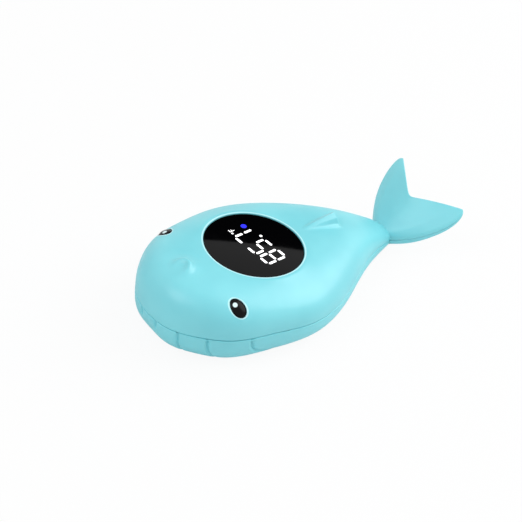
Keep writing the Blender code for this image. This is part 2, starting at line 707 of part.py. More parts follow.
def shell_lower():
    outer, cap = body_rows(False, 0.0, 0.0, STEM[0], -SEAM_GAP / 2, 0.0)
    fluke_outer, fluke_cap = fluke_rows(False, -SEAM_GAP / 2)
    shell = piece("lower_shell", loft_mesh("lower_shell", outer + fluke_outer, cap + fluke_cap),
                  "turquoise_plastic")
    hollow_rows = body_rows(False, WALL, HOLLOW_START, HOLLOW_END, 1.0 * MM, FLOOR)
    hollow = tool("hollow_lower", loft_mesh("hollow_lower", *hollow_rows))
    for boss in lower_bosses():
        cut(hollow, boss)
    cut(shell, hollow)
    pad = ((-DOOR_HALF_WIDTH - 1.6 * MM, along(DOOR_START) - 1.6 * MM, FLOOR / 2),
           (DOOR_HALF_WIDTH + 1.6 * MM, along(DOOR_END) + 1.6 * MM, PAD_TOP))
    bay = ((-BAY_HALF_WIDTH - BAY_WALL, along(BAY_START) - BAY_WALL, FLOOR),
           (BAY_HALF_WIDTH + BAY_WALL, along(BAY_END) + BAY_WALL, BAY_TOP + BAY_WALL))
    join(shell, tool("door_pad", box_mesh("door_pad", *pad)))
    join(shell, tool("bay_walls", box_mesh("bay_walls", *bay)))
    for i, distance in enumerate(DOOR_SCREW_PLACES):
        mesh = rod_mesh(f"door_boss_{i}", DOOR_BOSS_RADIUS, PAD_TOP - 0.5 * MM, DOOR_BOSS_HEIGHT,
                        steps=16)
        join(shell, tool(f"door_boss_{i}", mesh, at(0.0, along(distance))))
    for opening in bay_openings() + belly_holes():
        cut(shell, opening)
    gasket_room = tube_mesh("gasket_room", gasket_path(), GASKET_RADIUS + FIT_GAP, closed=True)
    cut(shell, tool("gasket_room", gasket_room))
    for offset in PLEAT_OFFSETS:
        for side in (-1, 1):
            points = [(side * x, y, z) for x, y, z in lower_surface_pleat(offset)]
            name = f"pleat_{round(side * offset / MM * 10)}".replace("-", "minus_")
            cut(shell, tool(name, tube_mesh(name, points, PLEAT_RADIUS)))
    return shell


def bay_openings():
    inner = ((-BAY_HALF_WIDTH, along(BAY_START), -1.0 * MM),
             (BAY_HALF_WIDTH, along(BAY_END), BAY_TOP))
    recess = ((-DOOR_HALF_WIDTH - FIT_GAP, along(DOOR_START) - FIT_GAP, -1.0 * MM),
              (DOOR_HALF_WIDTH + FIT_GAP, along(DOOR_END) + FIT_GAP, DOOR_SEAT))
    openings = [tool("bay_room", box_mesh("bay_room", *inner)),
                tool("door_recess", box_mesh("door_recess", *recess))]
    for side, name in ((-1, "left"), (1, "right")):
        half = TAB_WIDTH / 2 + FIT_GAP
        slot = ((side * CELL_X - half, along(BAY_END) - PLATE_THICKNESS - 2 * FIT_GAP,
                 BAY_TOP - 1.0 * MM),
                (side * CELL_X + half, along(BAY_END), BAY_TOP + BAY_WALL + 1.0 * MM))
        openings.append(tool("tab_slot_" + name, box_mesh("tab_slot_" + name, *slot)))
    return openings


def belly_holes():
    holes = []
    for i, (x, distance, seat) in enumerate(boss_places()):
        shaft = rod_mesh(f"screw_way_{i}", SCREW_RADIUS + FIT_GAP, -1.0 * MM, seat + SCREW_LENGTH,
                         steps=16)
        head = rod_mesh(f"head_way_{i}", HEAD_RADIUS + FIT_GAP, -1.0 * MM, seat, steps=20)
        holes.append(tool(f"screw_way_{i}", shaft, at(x, along(distance))))
        holes.append(tool(f"head_way_{i}", head, at(x, along(distance))))
    for i, distance in enumerate(DOOR_SCREW_PLACES):
        top = door_head_seat() + DOOR_SCREW_LENGTH + FIT_GAP
        mesh = rod_mesh(f"door_pilot_{i}", SCREW_RADIUS + FIT_GAP, 0.0, top, steps=16)
        holes.append(tool(f"door_pilot_{i}", mesh, at(0.0, along(distance))))
    probe = rod_mesh("probe_hole", PROBE_RADIUS + FIT_GAP, -1.0 * MM, FLOOR + 1.0 * MM, steps=24)
    holes.append(tool("probe_hole", probe, at(0.0, along(PROBE_DISTANCE))))
    seat = rod_mesh("probe_seat", PROBE_RADIUS + PROBE_FLANGE + FIT_GAP, FLOOR,
                    FLOOR + PROBE_HEIGHT, steps=24)
    holes.append(tool("probe_seat", seat, at(0.0, along(PROBE_DISTANCE))))
    for side, name in ((-1, "left"), (1, "right")):
        place = at(side * PIN_PLACE[0], along(PIN_PLACE[1]))
        shank = rod_mesh("pin_hole_" + name, PIN_RADIUS + FIT_GAP, -1.0 * MM, FLOOR + 1.0 * MM,
                         steps=16)
        head = rod_mesh("pin_seat_" + name, PIN_HEAD_RADIUS + FIT_GAP, -1.0 * MM,
                        DOOR_SUNK + PIN_HEAD_HEIGHT + FIT_GAP, steps=20)
        holes.append(tool("pin_hole_" + name, shank, place))
        holes.append(tool("pin_seat_" + name, head, place))
    return holes


def gasket_path():
    """Closed loop just under the seam, inside the lower shell's wall."""
    points = []
    steps = 20
    last = math.sqrt(HOLLOW_END + WALL / 2)
    for i in range(steps + 1):
        distance, width, _, _, seam = body_section(last * i / steps, GASKET_INSET)
        points.append((width, along(distance), seam - SEAM_GAP / 2 - GASKET_RADIUS))
    mirrored = [(-x, y, z) for x, y, z in points[:0:-1]]
    return points + mirrored


def seam_gasket():
    piece("seam_gasket", tube_mesh("seam_gasket", gasket_path(), GASKET_RADIUS, closed=True),
          "silicone_seal")


def display_stack():
    lens = rod_mesh("display_lens", LENS_RADIUS, LENS_UNDER, 0.0, steps=48)
    piece("display_lens", lens, "lens_smoke", display_place())
    outer = LENS_RADIUS - FIT_GAP
    inner = WINDOW_RADIUS + FIT_GAP
    top = LENS_UNDER - FIT_GAP
    low = top - LENS_GASKET_THICKNESS
    ring = [(outer, top), (outer, low), (inner, low), (inner, top), (outer, top)]
    piece("lens_gasket", turned_mesh("lens_gasket", ring, 48), "silicone_seal", display_place())
    digit_module()
    place = digit_place()
    half = UNIT_SIZE / 2
    unit = ((UNIT_CENTRE[0] - half, UNIT_CENTRE[1] - half, LAMP_FOOT),
            (UNIT_CENTRE[0] + half, UNIT_CENTRE[1] + half, LAMP_TOP))
    piece("unit_lamp", box_mesh("unit_lamp", *unit), "white_plastic", place)
    lamp = rod_mesh("indicator_lamp", INDICATOR_RADIUS, LAMP_FOOT, LAMP_TOP, steps=20)
    piece("indicator_lamp", lamp, "blue_lamp", place @ at(*INDICATOR_CENTRE))


def segment_layout():
    """Centre, and whether it lies across, of each of the seven bars of a digit."""
    wide, tall = DIGIT_SIZE[0] / 2, DIGIT_SIZE[1] / 2
    return {
        "a": ((0.0, tall), True),
        "b": ((wide, tall / 2), False),
        "c": ((wide, -tall / 2), False),
        "d": ((0.0, -tall), True),
        "e": ((-wide, -tall / 2), False),
        "f": ((-wide, tall / 2), False),
        "g": ((0.0, 0.0), True),
    }


def digit_module():
    """Block with the seven-segment bars standing slightly out of its face."""
    half_x, half_y = MODULE_SIZE[0] / 2, MODULE_SIZE[1] / 2
    low = (MODULE_CENTRE[0] - half_x, MODULE_CENTRE[1] - half_y, LAMP_FOOT)
    high = (MODULE_CENTRE[0] + half_x, MODULE_CENTRE[1] + half_y, LAMP_TOP)
    module = piece("digit_module", box_mesh("digit_module", low, high), "white_plastic",
                   digit_place())
    layout = segment_layout()
    for place, (column, shown) in enumerate(zip(DIGIT_CENTRES, SHOWN_SEGMENTS)):
        for letter in shown:
            (x, y), across = layout[letter]
            reach = SEGMENT_LENGTH if across else SEGMENT_WIDTH
            rise = SEGMENT_WIDTH if across else SEGMENT_LENGTH
            bar = ((column + x - reach / 2, DIGIT_ROW + y - rise / 2, LAMP_TOP - 0.5 * MM),
                   (column + x + reach / 2, DIGIT_ROW + y + rise / 2, LAMP_TOP + SEGMENT_PROUD))
            name = f"bar_{place}_{letter}"
            join(module, tool(name, box_mesh(name, *bar), digit_place()))
    dot = rod_mesh("decimal_point", SEGMENT_WIDTH / 2, LAMP_TOP - 0.5 * MM,
                   LAMP_TOP + SEGMENT_PROUD, steps=12)
    join(module, tool("decimal_point", dot, digit_place() @ at(*POINT_CENTRE)))


def board():
    plate = rod_mesh("main_board", BOARD_RADIUS, BOARD_UNDER, BOARD_TOP, steps=40)
    board_piece = piece("main_board", plate, "circuit_board", display_place())
    for i, (x, y) in enumerate(post_places()):
        hole = rod_mesh(f"board_hole_{i}", SMALL_SCREW_RADIUS + FIT_GAP, BOARD_UNDER - 1.0 * MM,
                        BOARD_TOP + 1.0 * MM, steps=12)
        cut(board_piece, tool(f"board_hole_{i}", hole, display_place(x, y)))
        head_top = BOARD_UNDER - FIT_GAP
        profile = screw_profile(SMALL_SCREW_RADIUS, SMALL_SCREW_LENGTH, SMALL_HEAD_RADIUS,
                                SMALL_HEAD_HEIGHT)
        piece(f"board_screw_{i + 1}", turned_mesh("board_screw", profile, 16), "steel",
              display_place(x, y, head_top))
    chip_top = BOARD_UNDER - FIT_GAP
    half_x, half_y = CHIP_SIZE[0] / 2, CHIP_SIZE[1] / 2
    chip = ((CHIP_CENTRE[0] - half_x, CHIP_CENTRE[1] - half_y, chip_top - CHIP_SIZE[2]),
            (CHIP_CENTRE[0] + half_x, CHIP_CENTRE[1] + half_y, chip_top))
    piece("controller_chip", box_mesh("controller_chip", *chip), "chip_black", display_place())


def screw_profile(radius, length, head_radius, head_height):
    """Screw standing point up, with the top of its head's shoulder at Z = 0."""
    point = radius * 0.4
    drive = head_radius * 0.35
    return [(0.0, length), (point, length), (radius, length - radius), (radius, 0.0),
            (head_radius, 0.0), (head_radius, -head_height * 0.6),
            (head_radius * 0.8, -head_height), (drive, -head_height),
            (drive, -head_height * 0.45), (0.0, -head_height * 0.45)]


def fasteners():
    profile = screw_profile(SCREW_RADIUS, SCREW_LENGTH, HEAD_RADIUS, HEAD_HEIGHT)
    for i, (x, distance, seat) in enumerate(boss_places()):
        piece(f"shell_screw_{i + 1}", turned_mesh("shell_screw", profile, 16), "steel",
              at(x, along(distance), seat - FIT_GAP))
    profile = screw_profile(SCREW_RADIUS, DOOR_SCREW_LENGTH, HEAD_RADIUS, DOOR_HEAD_HEIGHT)
    for name, distance in zip(("front", "rear"), DOOR_SCREW_PLACES):
        piece("door_screw_" + name, turned_mesh("door_screw", profile, 16), "steel",
              at(0.0, along(distance), door_head_seat()))


def door_head_seat():
    """Height of the screw heads' shoulder in the door."""
    return DOOR_SUNK + DOOR_HEAD_HEIGHT


def cells():
    rest = CELL_LENGTH - CELL_NUB_LENGTH
    profile = [(0.0, rest), (0.0, 0.0), (CELL_RADIUS, 0.0), (CELL_RADIUS, rest),
               (CELL_NUB_RADIUS, rest), (CELL_NUB_RADIUS, CELL_LENGTH), (0.0, CELL_LENGTH)]
    mesh = turned_mesh("cell", profile[1:], 24)
    front = BAY_START + PLATE_THICKNESS + 2 * FIT_GAP
    back = BAY_END - PLATE_THICKNESS - 2 * FIT_GAP
    point_back = Matrix.Rotation(-math.pi / 2, 4, "X")
    point_front = Matrix.Rotation(math.pi / 2, 4, "X")
    piece("battery_left", mesh, "cell_sleeve",
          at(-CELL_X, along(back - CELL_LENGTH), CELL_HEIGHT) @ point_back)
    piece("battery_right", mesh.copy(), "cell_sleeve",
          at(CELL_X, along(front + CELL_LENGTH), CELL_HEIGHT) @ point_front)


def spring_mesh(name):
    points = []
    per_turn = 10
    reach = SPRING_LENGTH - 2 * SPRING_WIRE - 2 * FIT_GAP
    for i in range(SPRING_TURNS * per_turn + 1):
        angle = 2 * math.pi * i / per_turn
        share = i / (SPRING_TURNS * per_turn)
        radius = SPRING_RADIUS * (1.0 - 0.35 * share)
        points.append((radius * math.cos(angle), radius * math.sin(angle),
                       SPRING_WIRE + reach * share))
    return tube_mesh(name, points, SPRING_WIRE, fineness=1)


def contacts():
    low_z = CELL_HEIGHT - PLATE_HEIGHT / 2
    high_z = CELL_HEIGHT + PLATE_HEIGHT / 2
    front = along(BAY_START) + FIT_GAP
    back = along(BAY_END) - FIT_GAP
    bridge = ((-CELL_X - PLATE_HEIGHT / 2, front, low_z),
              (CELL_X + PLATE_HEIGHT / 2, front + PLATE_THICKNESS, high_z))
    piece("contact_bridge", box_mesh("contact_bridge", *bridge), "steel")
    for side, name in ((-1, "positive"), (1, "negative")):
        plate = ((side * CELL_X - PLATE_HEIGHT / 2, back - PLATE_THICKNESS, low_z),
                 (side * CELL_X + PLATE_HEIGHT / 2, back, high_z))
        tab = ((side * CELL_X - TAB_WIDTH / 2, back - PLATE_THICKNESS, high_z - 0.5 * MM),
               (side * CELL_X + TAB_WIDTH / 2, back, BAY_TOP + BAY_WALL + TAB_REACH))
        terminal = piece("terminal_" + name, box_mesh("terminal_" + name, *plate), "steel")
        join(terminal, tool("tab_" + name, box_mesh("tab_" + name, *tab)))
    to_back = Matrix.Rotation(-math.pi / 2, 4, "X")
    to_front = Matrix.Rotation(math.pi / 2, 4, "X")
    piece("spring_front", spring_mesh("spring_front"), "steel",
          at(-CELL_X, front + PLATE_THICKNESS + FIT_GAP, CELL_HEIGHT) @ to_back)
    piece("spring_rear", spring_mesh("spring_rear"), "steel",
          at(CELL_X, back - PLATE_THICKNESS - FIT_GAP, CELL_HEIGHT) @ to_front)


def door():
    plate = ((-DOOR_HALF_WIDTH, along(DOOR_START), DOOR_SUNK),
             (DOOR_HALF_WIDTH, along(DOOR_END), DOOR_TOP))
    panel = piece("battery_door", box_mesh("battery_door", *plate), "turquoise_plastic")
    for i, distance in enumerate(DOOR_SCREW_PLACES):
        way = rod_mesh(f"door_way_{i}", SCREW_RADIUS + FIT_GAP, -1.0 * MM, DOOR_SEAT + 1.0 * MM,
                       steps=16)
        head = rod_mesh(f"door_head_{i}", HEAD_RADIUS + FIT_GAP, -1.0 * MM,
                        door_head_seat() + FIT_GAP, steps=20)
        cut(panel, tool(f"door_way_{i}", way, at(0.0, along(distance))))
        cut(panel, tool(f"door_head_{i}", head, at(0.0, along(distance))))
    low = DOOR_TOP + FIT_GAP
    high = low + DOOR_GASKET_THICKNESS
    edge = BAY_HALF_WIDTH + DOOR_OVERLAP / 2
    outer = edge + DOOR_GASKET_WIDTH / 2
    inner = edge - DOOR_GASKET_WIDTH / 2
    reach = (outer - BAY_HALF_WIDTH, inner - BAY_HALF_WIDTH)
    ring = ((-outer, along(BAY_START) - reach[0], low), (outer, along(BAY_END) + reach[0], high))
    hole = ((-inner, along(BAY_START) - reach[1], low - 1.0 * MM),
            (inner, along(BAY_END) + reach[1], high + 1.0 * MM))
    gasket = piece("door_gasket", box_mesh("door_gasket", *ring), "silicone_seal")
    cut(gasket, tool("door_gasket_hole", box_mesh("door_gasket_hole", *hole)))


def probe():
    inner = PROBE_RADIUS - PROBE_WALL
    flange_low = FLOOR + FIT_GAP
    flange_high = flange_low + PROBE_WALL
    low = DOOR_SUNK
    top = low + PROBE_HEIGHT
    profile = [(0.0, low), (PROBE_RADIUS * 0.7, low), (PROBE_RADIUS, low + PROBE_WALL),
               (PROBE_RADIUS, flange_low), (PROBE_RADIUS + PROBE_FLANGE, flange_low),
               (PROBE_RADIUS + PROBE_FLANGE, flange_high), (PROBE_RADIUS, flange_high),
               (PROBE_RADIUS, top), (inner, top), (inner, low + 2 * PROBE_WALL),
               (0.0, low + 2 * PROBE_WALL)]
    place = at(0.0, along(PROBE_DISTANCE))
    piece("probe_cap", turned_mesh("probe_cap", profile, 24), "steel", place)
    bead = ball_mesh("thermistor", (THERMISTOR_RADIUS, THERMISTOR_RADIUS, THERMISTOR_RADIUS * 1.4),
                     14, 8)
    height = low + 2 * PROBE_WALL + FIT_GAP + THERMISTOR_RADIUS * 1.4
    piece("thermistor", bead, "black_gloss", place @ at(0.0, 0.0, height))
    pin = [(0.0, PIN_LENGTH), (PIN_RADIUS, PIN_LENGTH), (PIN_RADIUS, PIN_HEAD_HEIGHT),
           (PIN_HEAD_RADIUS, PIN_HEAD_HEIGHT), (PIN_HEAD_RADIUS, 0.0), (0.0, 0.0)]
    for side, name in ((-1, "left"), (1, "right")):
        piece("contact_pin_" + name, turned_mesh("contact_pin", pin, 16), "steel",
              at(side * PIN_PLACE[0], along(PIN_PLACE[1]), DOOR_SUNK))


def bent_path(start, middle, end, steps=8):
    """Smooth lead route through one guiding point."""
    a, b, c = Vector(start), Vector(middle), Vector(end)
    points = []
    for i in range(steps + 1):
        t = i / steps
        points.append(tuple(a * (1 - t) ** 2 + b * 2 * t * (1 - t) + c * t ** 2))
    return points


def rim_point(angle):
    """Solder point just outside the board's edge, at an angle in the display's frame."""
    reach = BOARD_RADIUS + FIT_GAP
    height = (BOARD_TOP + BOARD_UNDER) / 2
    return display_place(reach * math.cos(angle), reach * math.sin(angle), height).translation


def leads():
    """Insulated leads from the cells, the probe and the pins to the edge of the board."""
    tab_y = along(BAY_END) - FIT_GAP - PLATE_THICKNESS / 2
    tab_z = BAY_TOP + BAY_WALL + TAB_REACH + FIT_GAP + LEAD_RADIUS
    probe_y = along(PROBE_DISTANCE)
    for side, name in ((-1, "left"), (1, "right")):
        pole, look = ("positive", "red_lead") if side < 0 else ("negative", "black_lead")
        lead("battery_lead_" + pole, look, (side * CELL_X, tab_y, tab_z),
             (side * (CELL_X + 0.4 * MM), tab_y - 3.0 * MM, tab_z + 0.3 * MM),
             rim_point(math.pi / 2 - side * BATTERY_RIM_ANGLE))
        lead("sensor_lead_" + name, "black_lead", (side * SENSOR_LEAD_X, probe_y, sensor_top()),
             (side * SENSOR_LEAD_X, probe_y - 1.5 * MM, BAY_TOP + 4.6 * MM),
             rim_point(math.pi / 2 - side * SENSOR_RIM_ANGLE))
        pin_x, pin_y = side * PIN_PLACE[0], along(PIN_PLACE[1])
        lead("pin_lead_" + name, "black_lead", (pin_x, pin_y, pin_top()),
             (pin_x, pin_y + 3.5 * MM, BAY_TOP + 2.0 * MM),
             rim_point(math.pi / 2 - side * PIN_RIM_ANGLE))


def lead(name, look, start, middle, end):
    piece(name, tube_mesh(name, bent_path(start, middle, end), LEAD_RADIUS, fineness=0), look)


def sensor_top():
    """Height at which the sensor's leads start, just over its bead."""
    bead_top = DOOR_SUNK + 2 * PROBE_WALL + FIT_GAP + THERMISTOR_RADIUS * 2.8
    return bead_top + FIT_GAP


def pin_top():
    return DOOR_SUNK + PIN_LENGTH + FIT_GAP


clear_scene()
PARTS = new_collection("bath_thermometer")
TOOLS = new_collection("cutters")
MATERIALS = {look: make_material(look) for look in LOOKS}
shell_upper()
shell_lower()
seam_gasket()
display_stack()
board()
eyes()
fasteners()
cells()
contacts()
door()
probe()
leads()
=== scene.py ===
"""Finished surfaces of the whale-shaped bath thermometer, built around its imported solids.

Metres, +Z up. The head faces -Y and the fluke +Y, and the flat belly rests on Z = 0.
Distances "from the nose" are measured along +Y from the tip of the head. The sizes of the
body repeat those that the solids were made with.
"""
import json
import math

import bmesh
import bpy
import numpy as np
from mathutils import Matrix, Vector

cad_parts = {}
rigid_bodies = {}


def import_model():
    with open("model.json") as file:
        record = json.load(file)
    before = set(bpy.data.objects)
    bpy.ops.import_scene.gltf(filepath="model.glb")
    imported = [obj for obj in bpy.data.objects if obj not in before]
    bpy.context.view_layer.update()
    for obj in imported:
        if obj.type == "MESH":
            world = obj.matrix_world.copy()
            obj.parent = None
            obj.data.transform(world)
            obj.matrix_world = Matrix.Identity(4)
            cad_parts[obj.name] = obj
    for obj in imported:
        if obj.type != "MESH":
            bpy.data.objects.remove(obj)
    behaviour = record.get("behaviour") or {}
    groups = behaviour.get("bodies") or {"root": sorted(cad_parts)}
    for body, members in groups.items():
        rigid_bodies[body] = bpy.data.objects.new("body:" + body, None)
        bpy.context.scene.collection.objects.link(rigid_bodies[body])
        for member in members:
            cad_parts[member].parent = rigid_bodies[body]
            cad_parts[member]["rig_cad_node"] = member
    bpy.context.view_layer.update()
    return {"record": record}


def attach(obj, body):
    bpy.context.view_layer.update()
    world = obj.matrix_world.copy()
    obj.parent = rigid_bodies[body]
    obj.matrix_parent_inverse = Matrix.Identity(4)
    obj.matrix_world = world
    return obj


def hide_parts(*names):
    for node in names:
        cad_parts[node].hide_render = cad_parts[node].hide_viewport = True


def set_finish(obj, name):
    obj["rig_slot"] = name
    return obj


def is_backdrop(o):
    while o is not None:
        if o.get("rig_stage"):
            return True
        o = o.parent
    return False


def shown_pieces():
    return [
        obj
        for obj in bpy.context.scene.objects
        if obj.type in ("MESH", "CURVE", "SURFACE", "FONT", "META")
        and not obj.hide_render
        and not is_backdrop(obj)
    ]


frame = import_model()

MM = 0.001
ROOT = "root"


def mm(*values):
    """Metres of values in millimetres."""
    return tuple(value * MM for value in values)


# Camera: measured from the photograph as azimuth, elevation and roll about its own axis
CAMERA_PLACE = mm(345.8, -310.3, 415.7)
CAMERA_AZIMUTH = math.radians(49.62)
CAMERA_ELEVATION = math.radians(41.32)
CAMERA_ROLL = math.radians(6.93)
CAMERA_LENS = 115.7
CAMERA_SENSOR = 36.0

# Clearances
FIT_GAP = 0.3 * MM
SEAM_GAP = 0.3 * MM

# Outer form of the body. Each station: distance from the nose, half width at the seam,
# rise of the back above the seam, depth of the belly under the seam, height of the seam.
LENGTH = 129.0 * MM
STATIONS = {
    "nose": mm(0.0, 0.0, 0.0, 0.0, 13.5),
    "snout": mm(1.6, 10.0, 9.6, 8.0, 13.9),
    "brow": mm(7.6, 18.5, 15.0, 11.6, 13.9),
    "eyes": mm(19.0, 26.7, 16.1, 13.9, 13.3),
    "shoulder": mm(34.5, 30.6, 14.9, 13.9, 13.0),
    "girth": mm(53.0, 31.4, 14.6, 11.9, 11.2),
    "loin": mm(73.5, 22.7, 13.6, 10.4, 9.7),
    "tail_root": mm(91.3, 11.8, 9.4, 7.8, 8.5),
    "tail_stem": mm(106.4, 5.3, 3.8, 3.0, 5.3),
}
BACK_FULLNESS = 2.8
BELLY_FULLNESS = 3.6
WALL = 2.6 * MM
FLOOR = 2.4 * MM
HOLLOW_START = 0.5 * MM
HOLLOW_END = 95.0 * MM

# Fluke
FLUKE_BEND = mm(14.1, 114.4, 9.4)
FLUKE_SWELL = mm(19.3, 125.0, 15.9)
FLUKE_TIP = mm(19.0, 128.2, 18.4)
FLUKE_TURN = (17.7 * MM, LENGTH, 19.1 * MM)
FLUKE_NOTCH = mm(0.0, 118.3, 17.1)
FLUKE_KNOTS = (0.0, 0.36, 0.72, 0.88, 1.0)
FLUKE_EDGE_TOP = 1.4 * MM
FLUKE_EDGE_LOW = 1.6 * MM
FLUKE_EDGE_FULLNESS = 14.0
FLUKE_SEAM_LIFT = 1.1 * MM
FLUKE_THINNING = 0.4
FLUKE_FLAT_SHARE = 0.70     # share of the half width where the flat face turns into the bevel
FLUKE_BEVEL_DROP = 0.62
FLUKE_BEVEL_SOFT = 0.012
FLUKE_EDGE_START = 0.93     # share of the half width where the bevel turns down into the edge
FLUKE_BLEND_END = 0.45      # shares of the way from the stem to the trailing edge
FLUKE_LIFT_END = 0.5
FLUKE_THIN_START = 0.6
FLUKE_NOTCH_ROUND = 0.10
FLUKE_RIDGE_ROUND = 0.25
FLUKE_DISH = 0.35 * MM
FLUKE_DISH_WIDTH = 0.7
CREASE_DISTANCE = 105.6 * MM
CREASE_REACH = 1.5 * MM
CREASE_DEPTH = 0.5 * MM
CREASE_FADE = 2.0 * MM      # heights over the seam up to which a relief grows
RELIEF_FADE = 4.0 * MM

# Rounding of the moulded edges
SEAM_ROUND = 0.35 * MM

# Display
DISPLAY_DISTANCE = 44.1 * MM
DISPLAY_HEIGHT = 26.1 * MM
DISPLAY_TILT = math.radians(6.0)
DIGIT_TURN = math.radians(187.0)
LENS_RADIUS = 18.2 * MM
LENS_THICKNESS = 1.6 * MM
LENS_GASKET_THICKNESS = 0.5 * MM
LENS_LEDGE_WIDTH = 1.7 * MM
LENS_LEDGE_THICKNESS = 1.8 * MM
LENS_EDGE_ROUND = 0.25 * MM
LENS_GAP = 0.12 * MM
LIP_WIDTH = 1.3 * MM
LIP_HEIGHT = 0.35 * MM
LIP_BLEND = 9.0 * MM
LIP_RADIUS = LENS_RADIUS + FIT_GAP + LIP_WIDTH
LENS_UNDER = -LENS_THICKNESS
LENS_SEAT = LENS_UNDER - LENS_GASKET_THICKNESS - 2 * FIT_GAP
LEDGE_UNDER = LENS_SEAT - LENS_LEDGE_THICKNESS
WINDOW_RADIUS = LENS_RADIUS - LENS_LEDGE_WIDTH

# Lit figures, in the frame of the digits
SEGMENT_LENGTH = 3.5 * MM
SEGMENT_WIDTH = 0.95 * MM
SEGMENT_POINT = 0.35 * MM
FIGURE_THICKNESS = 0.03 * MM
DIGIT_SIZE = mm(4.7, 8.6)
DIGIT_CENTRES = mm(-8.4, -1.8, 4.7)
DIGIT_ROW = -1.3 * MM
SHOWN_SEGMENTS = ("abcdefg", "acdfg", "abc")
POINT_CENTRE = mm(2.6, -5.9)
POINT_RADIUS = 0.55 * MM
UNIT_CENTRE = mm(10.2, 1.4)
UNIT_SIZE = mm(1.3, 2.1)
UNIT_STROKE = 0.24 * MM
UNIT_INSET = 0.5 * MM
UNIT_ARM_CUT = 0.3 * MM
DEGREE_RADIUS = 0.4 * MM
DEGREE_GAP = 0.55 * MM
INDICATOR_CENTRE = mm(10.1, -4.3)
INDICATOR_RADIUS = 1.1 * MM

# Eyes
EYE_X = 22.9 * MM
EYE_DISTANCE = 21.3 * MM
EYE_HALF_LENGTH = 3.65 * MM
EYE_HALF_WIDTH = 2.6 * MM
EYE_DEPTH = 1.3 * MM
EYE_PROUD = 0.5 * MM
EYE_LEAN = math.radians(13.0)
# Width of the painted highlight on the shell beyond each eye's socket
EYE_RIM_HIGHLIGHT = 0.18 * MM
GLINT_SHIFT = mm(1.55, 0.25)
GLINT_RADIUS = 0.85 * MM

# Blowhole, dorsal fin and belly pleats
BLOWHOLE_PLACE = mm(0.0, 14.6)
BLOWHOLE_REACH = 7.0 * MM
BLOWHOLE_HEIGHT = 1.0 * MM
DIMPLE_PLACE = mm(0.3, 12.8)
CRESCENT_RADIUS = 2.7 * MM
CRESCENT_WIDTH = 1.25 * MM
CRESCENT_HEIGHT = 1.35 * MM
FIN_FRONT = 66.0 * MM
FIN_PEAK = 81.0 * MM
FIN_FALL = 1.2 * MM
FIN_HEIGHT = 4.6 * MM
FIN_HALF_WIDTH = 4.9 * MM
FIN_FRONT_WIDTH = 1.2 * MM
FIN_CREST = 0.5 * MM
FIN_WIDENING = 0.8          # powers of the share of the way up to the peak
FIN_CLIMB = 1.1
FIN_ROOF_SHARE = 0.42       # shares of the height
FIN_WALL_SHARE = 0.36
FIN_FOOT_SHARE = 0.22
FIN_ROOF_WIDTH = 0.5        # shares of the half width
FIN_WALL_START = 0.36
FIN_WALL_WIDTH = 0.2
FIN_FOOT_START = 0.35
FIN_FOOT_WIDTH = 0.65
PLEAT_OFFSETS = mm(4.2, 13.5, 21.3, 28.6)
PLEAT_REACH = 0.5 * MM
PLEAT_DEPTH = 0.85 * MM
PLEAT_SWELL = 0.05 * MM
PLEAT_FIRST_ROW = 3
PLEAT_END_ANGLE = math.radians(62.0)
PLEAT_NEAR = 4 * MM
PLEAT_SHOULDER = 2.4        # reaches from the groove to its shoulder
PLEAT_FADE_START = 0.6      # shares of the pleat's length
PLEAT_FADE_WIDTH = 0.35

# Screws, bay, door, probe and pins in the belly
BOSS_PLACES = (mm(17.5, 28.5, 7.0), mm(8.6, 85.5, 4.0))
BOSS_RADIUS = 3.2 * MM
BOSS_SEAM_GAP = 0.4 * MM
SCREW_RADIUS = 1.1 * MM
SCREW_LENGTH = 12.0 * MM
HEAD_RADIUS = 2.0 * MM
HEAD_HEIGHT = 1.4 * MM
HEAD_EDGE = 0.25 * MM
HEAD_ROUND = 0.5 * MM
THREAD_PITCH = 0.9 * MM
THREAD_CORE = 0.72          # shares of the screw's radius
SCREW_TIP = 0.3
SCREW_NECK = 0.8
SCREW_POINT = 0.6 * MM
SCREW_PLAIN = 2.0 * MM
CROSS_HALF_WIDTH = 0.22 * MM
CROSS_REACH = 0.62          # share of the head's radius
CELL_RADIUS = 5.25 * MM
CELL_LENGTH = 44.5 * MM
CELL_SPACING = 0.8 * MM
SPRING_LENGTH = 3.5 * MM
PLATE_THICKNESS = 0.4 * MM
BAY_START = 22.5 * MM
BAY_WALL = 1.2 * MM
BAY_SIDE_GAP = 0.5 * MM
DOOR_THICKNESS = 1.8 * MM
DOOR_SUNK = 0.2 * MM
DOOR_OVERLAP = 2.2 * MM
DOOR_END_OVERLAP = 5.6 * MM
DOOR_GASKET_THICKNESS = 0.5 * MM
DOOR_LEDGE = 1.8 * MM
DOOR_SCREW_INSET = 2.8 * MM
DOOR_SCREW_LENGTH = 4.0 * MM
DOOR_HEAD_HEIGHT = 0.8 * MM
DOOR_CORNER = 0.25 * MM
PROBE_DISTANCE = 85.5 * MM
PROBE_RADIUS = 2.6 * MM
PROBE_WALL = 0.5 * MM
PROBE_HEIGHT = 5.4 * MM
PROBE_FLANGE = 1.0 * MM
PROBE_EDGE = 0.7 * MM
PIN_EDGE = 0.2 * MM
PIN_PLACE = mm(17.6, 58.0)
PIN_RADIUS = 0.8 * MM
PIN_HEAD_RADIUS = 1.7 * MM
PIN_HEAD_HEIGHT = 0.7 * MM
PIN_LENGTH = 4.6 * MM
PAD_MARGIN = 1.6 * MM
OVERSHOOT = 1.0 * MM        # how far a tool goes on past what it opens
SHAFT_OVERLAP = 0.2 * MM
PILOT_OVERLAP = 0.5 * MM

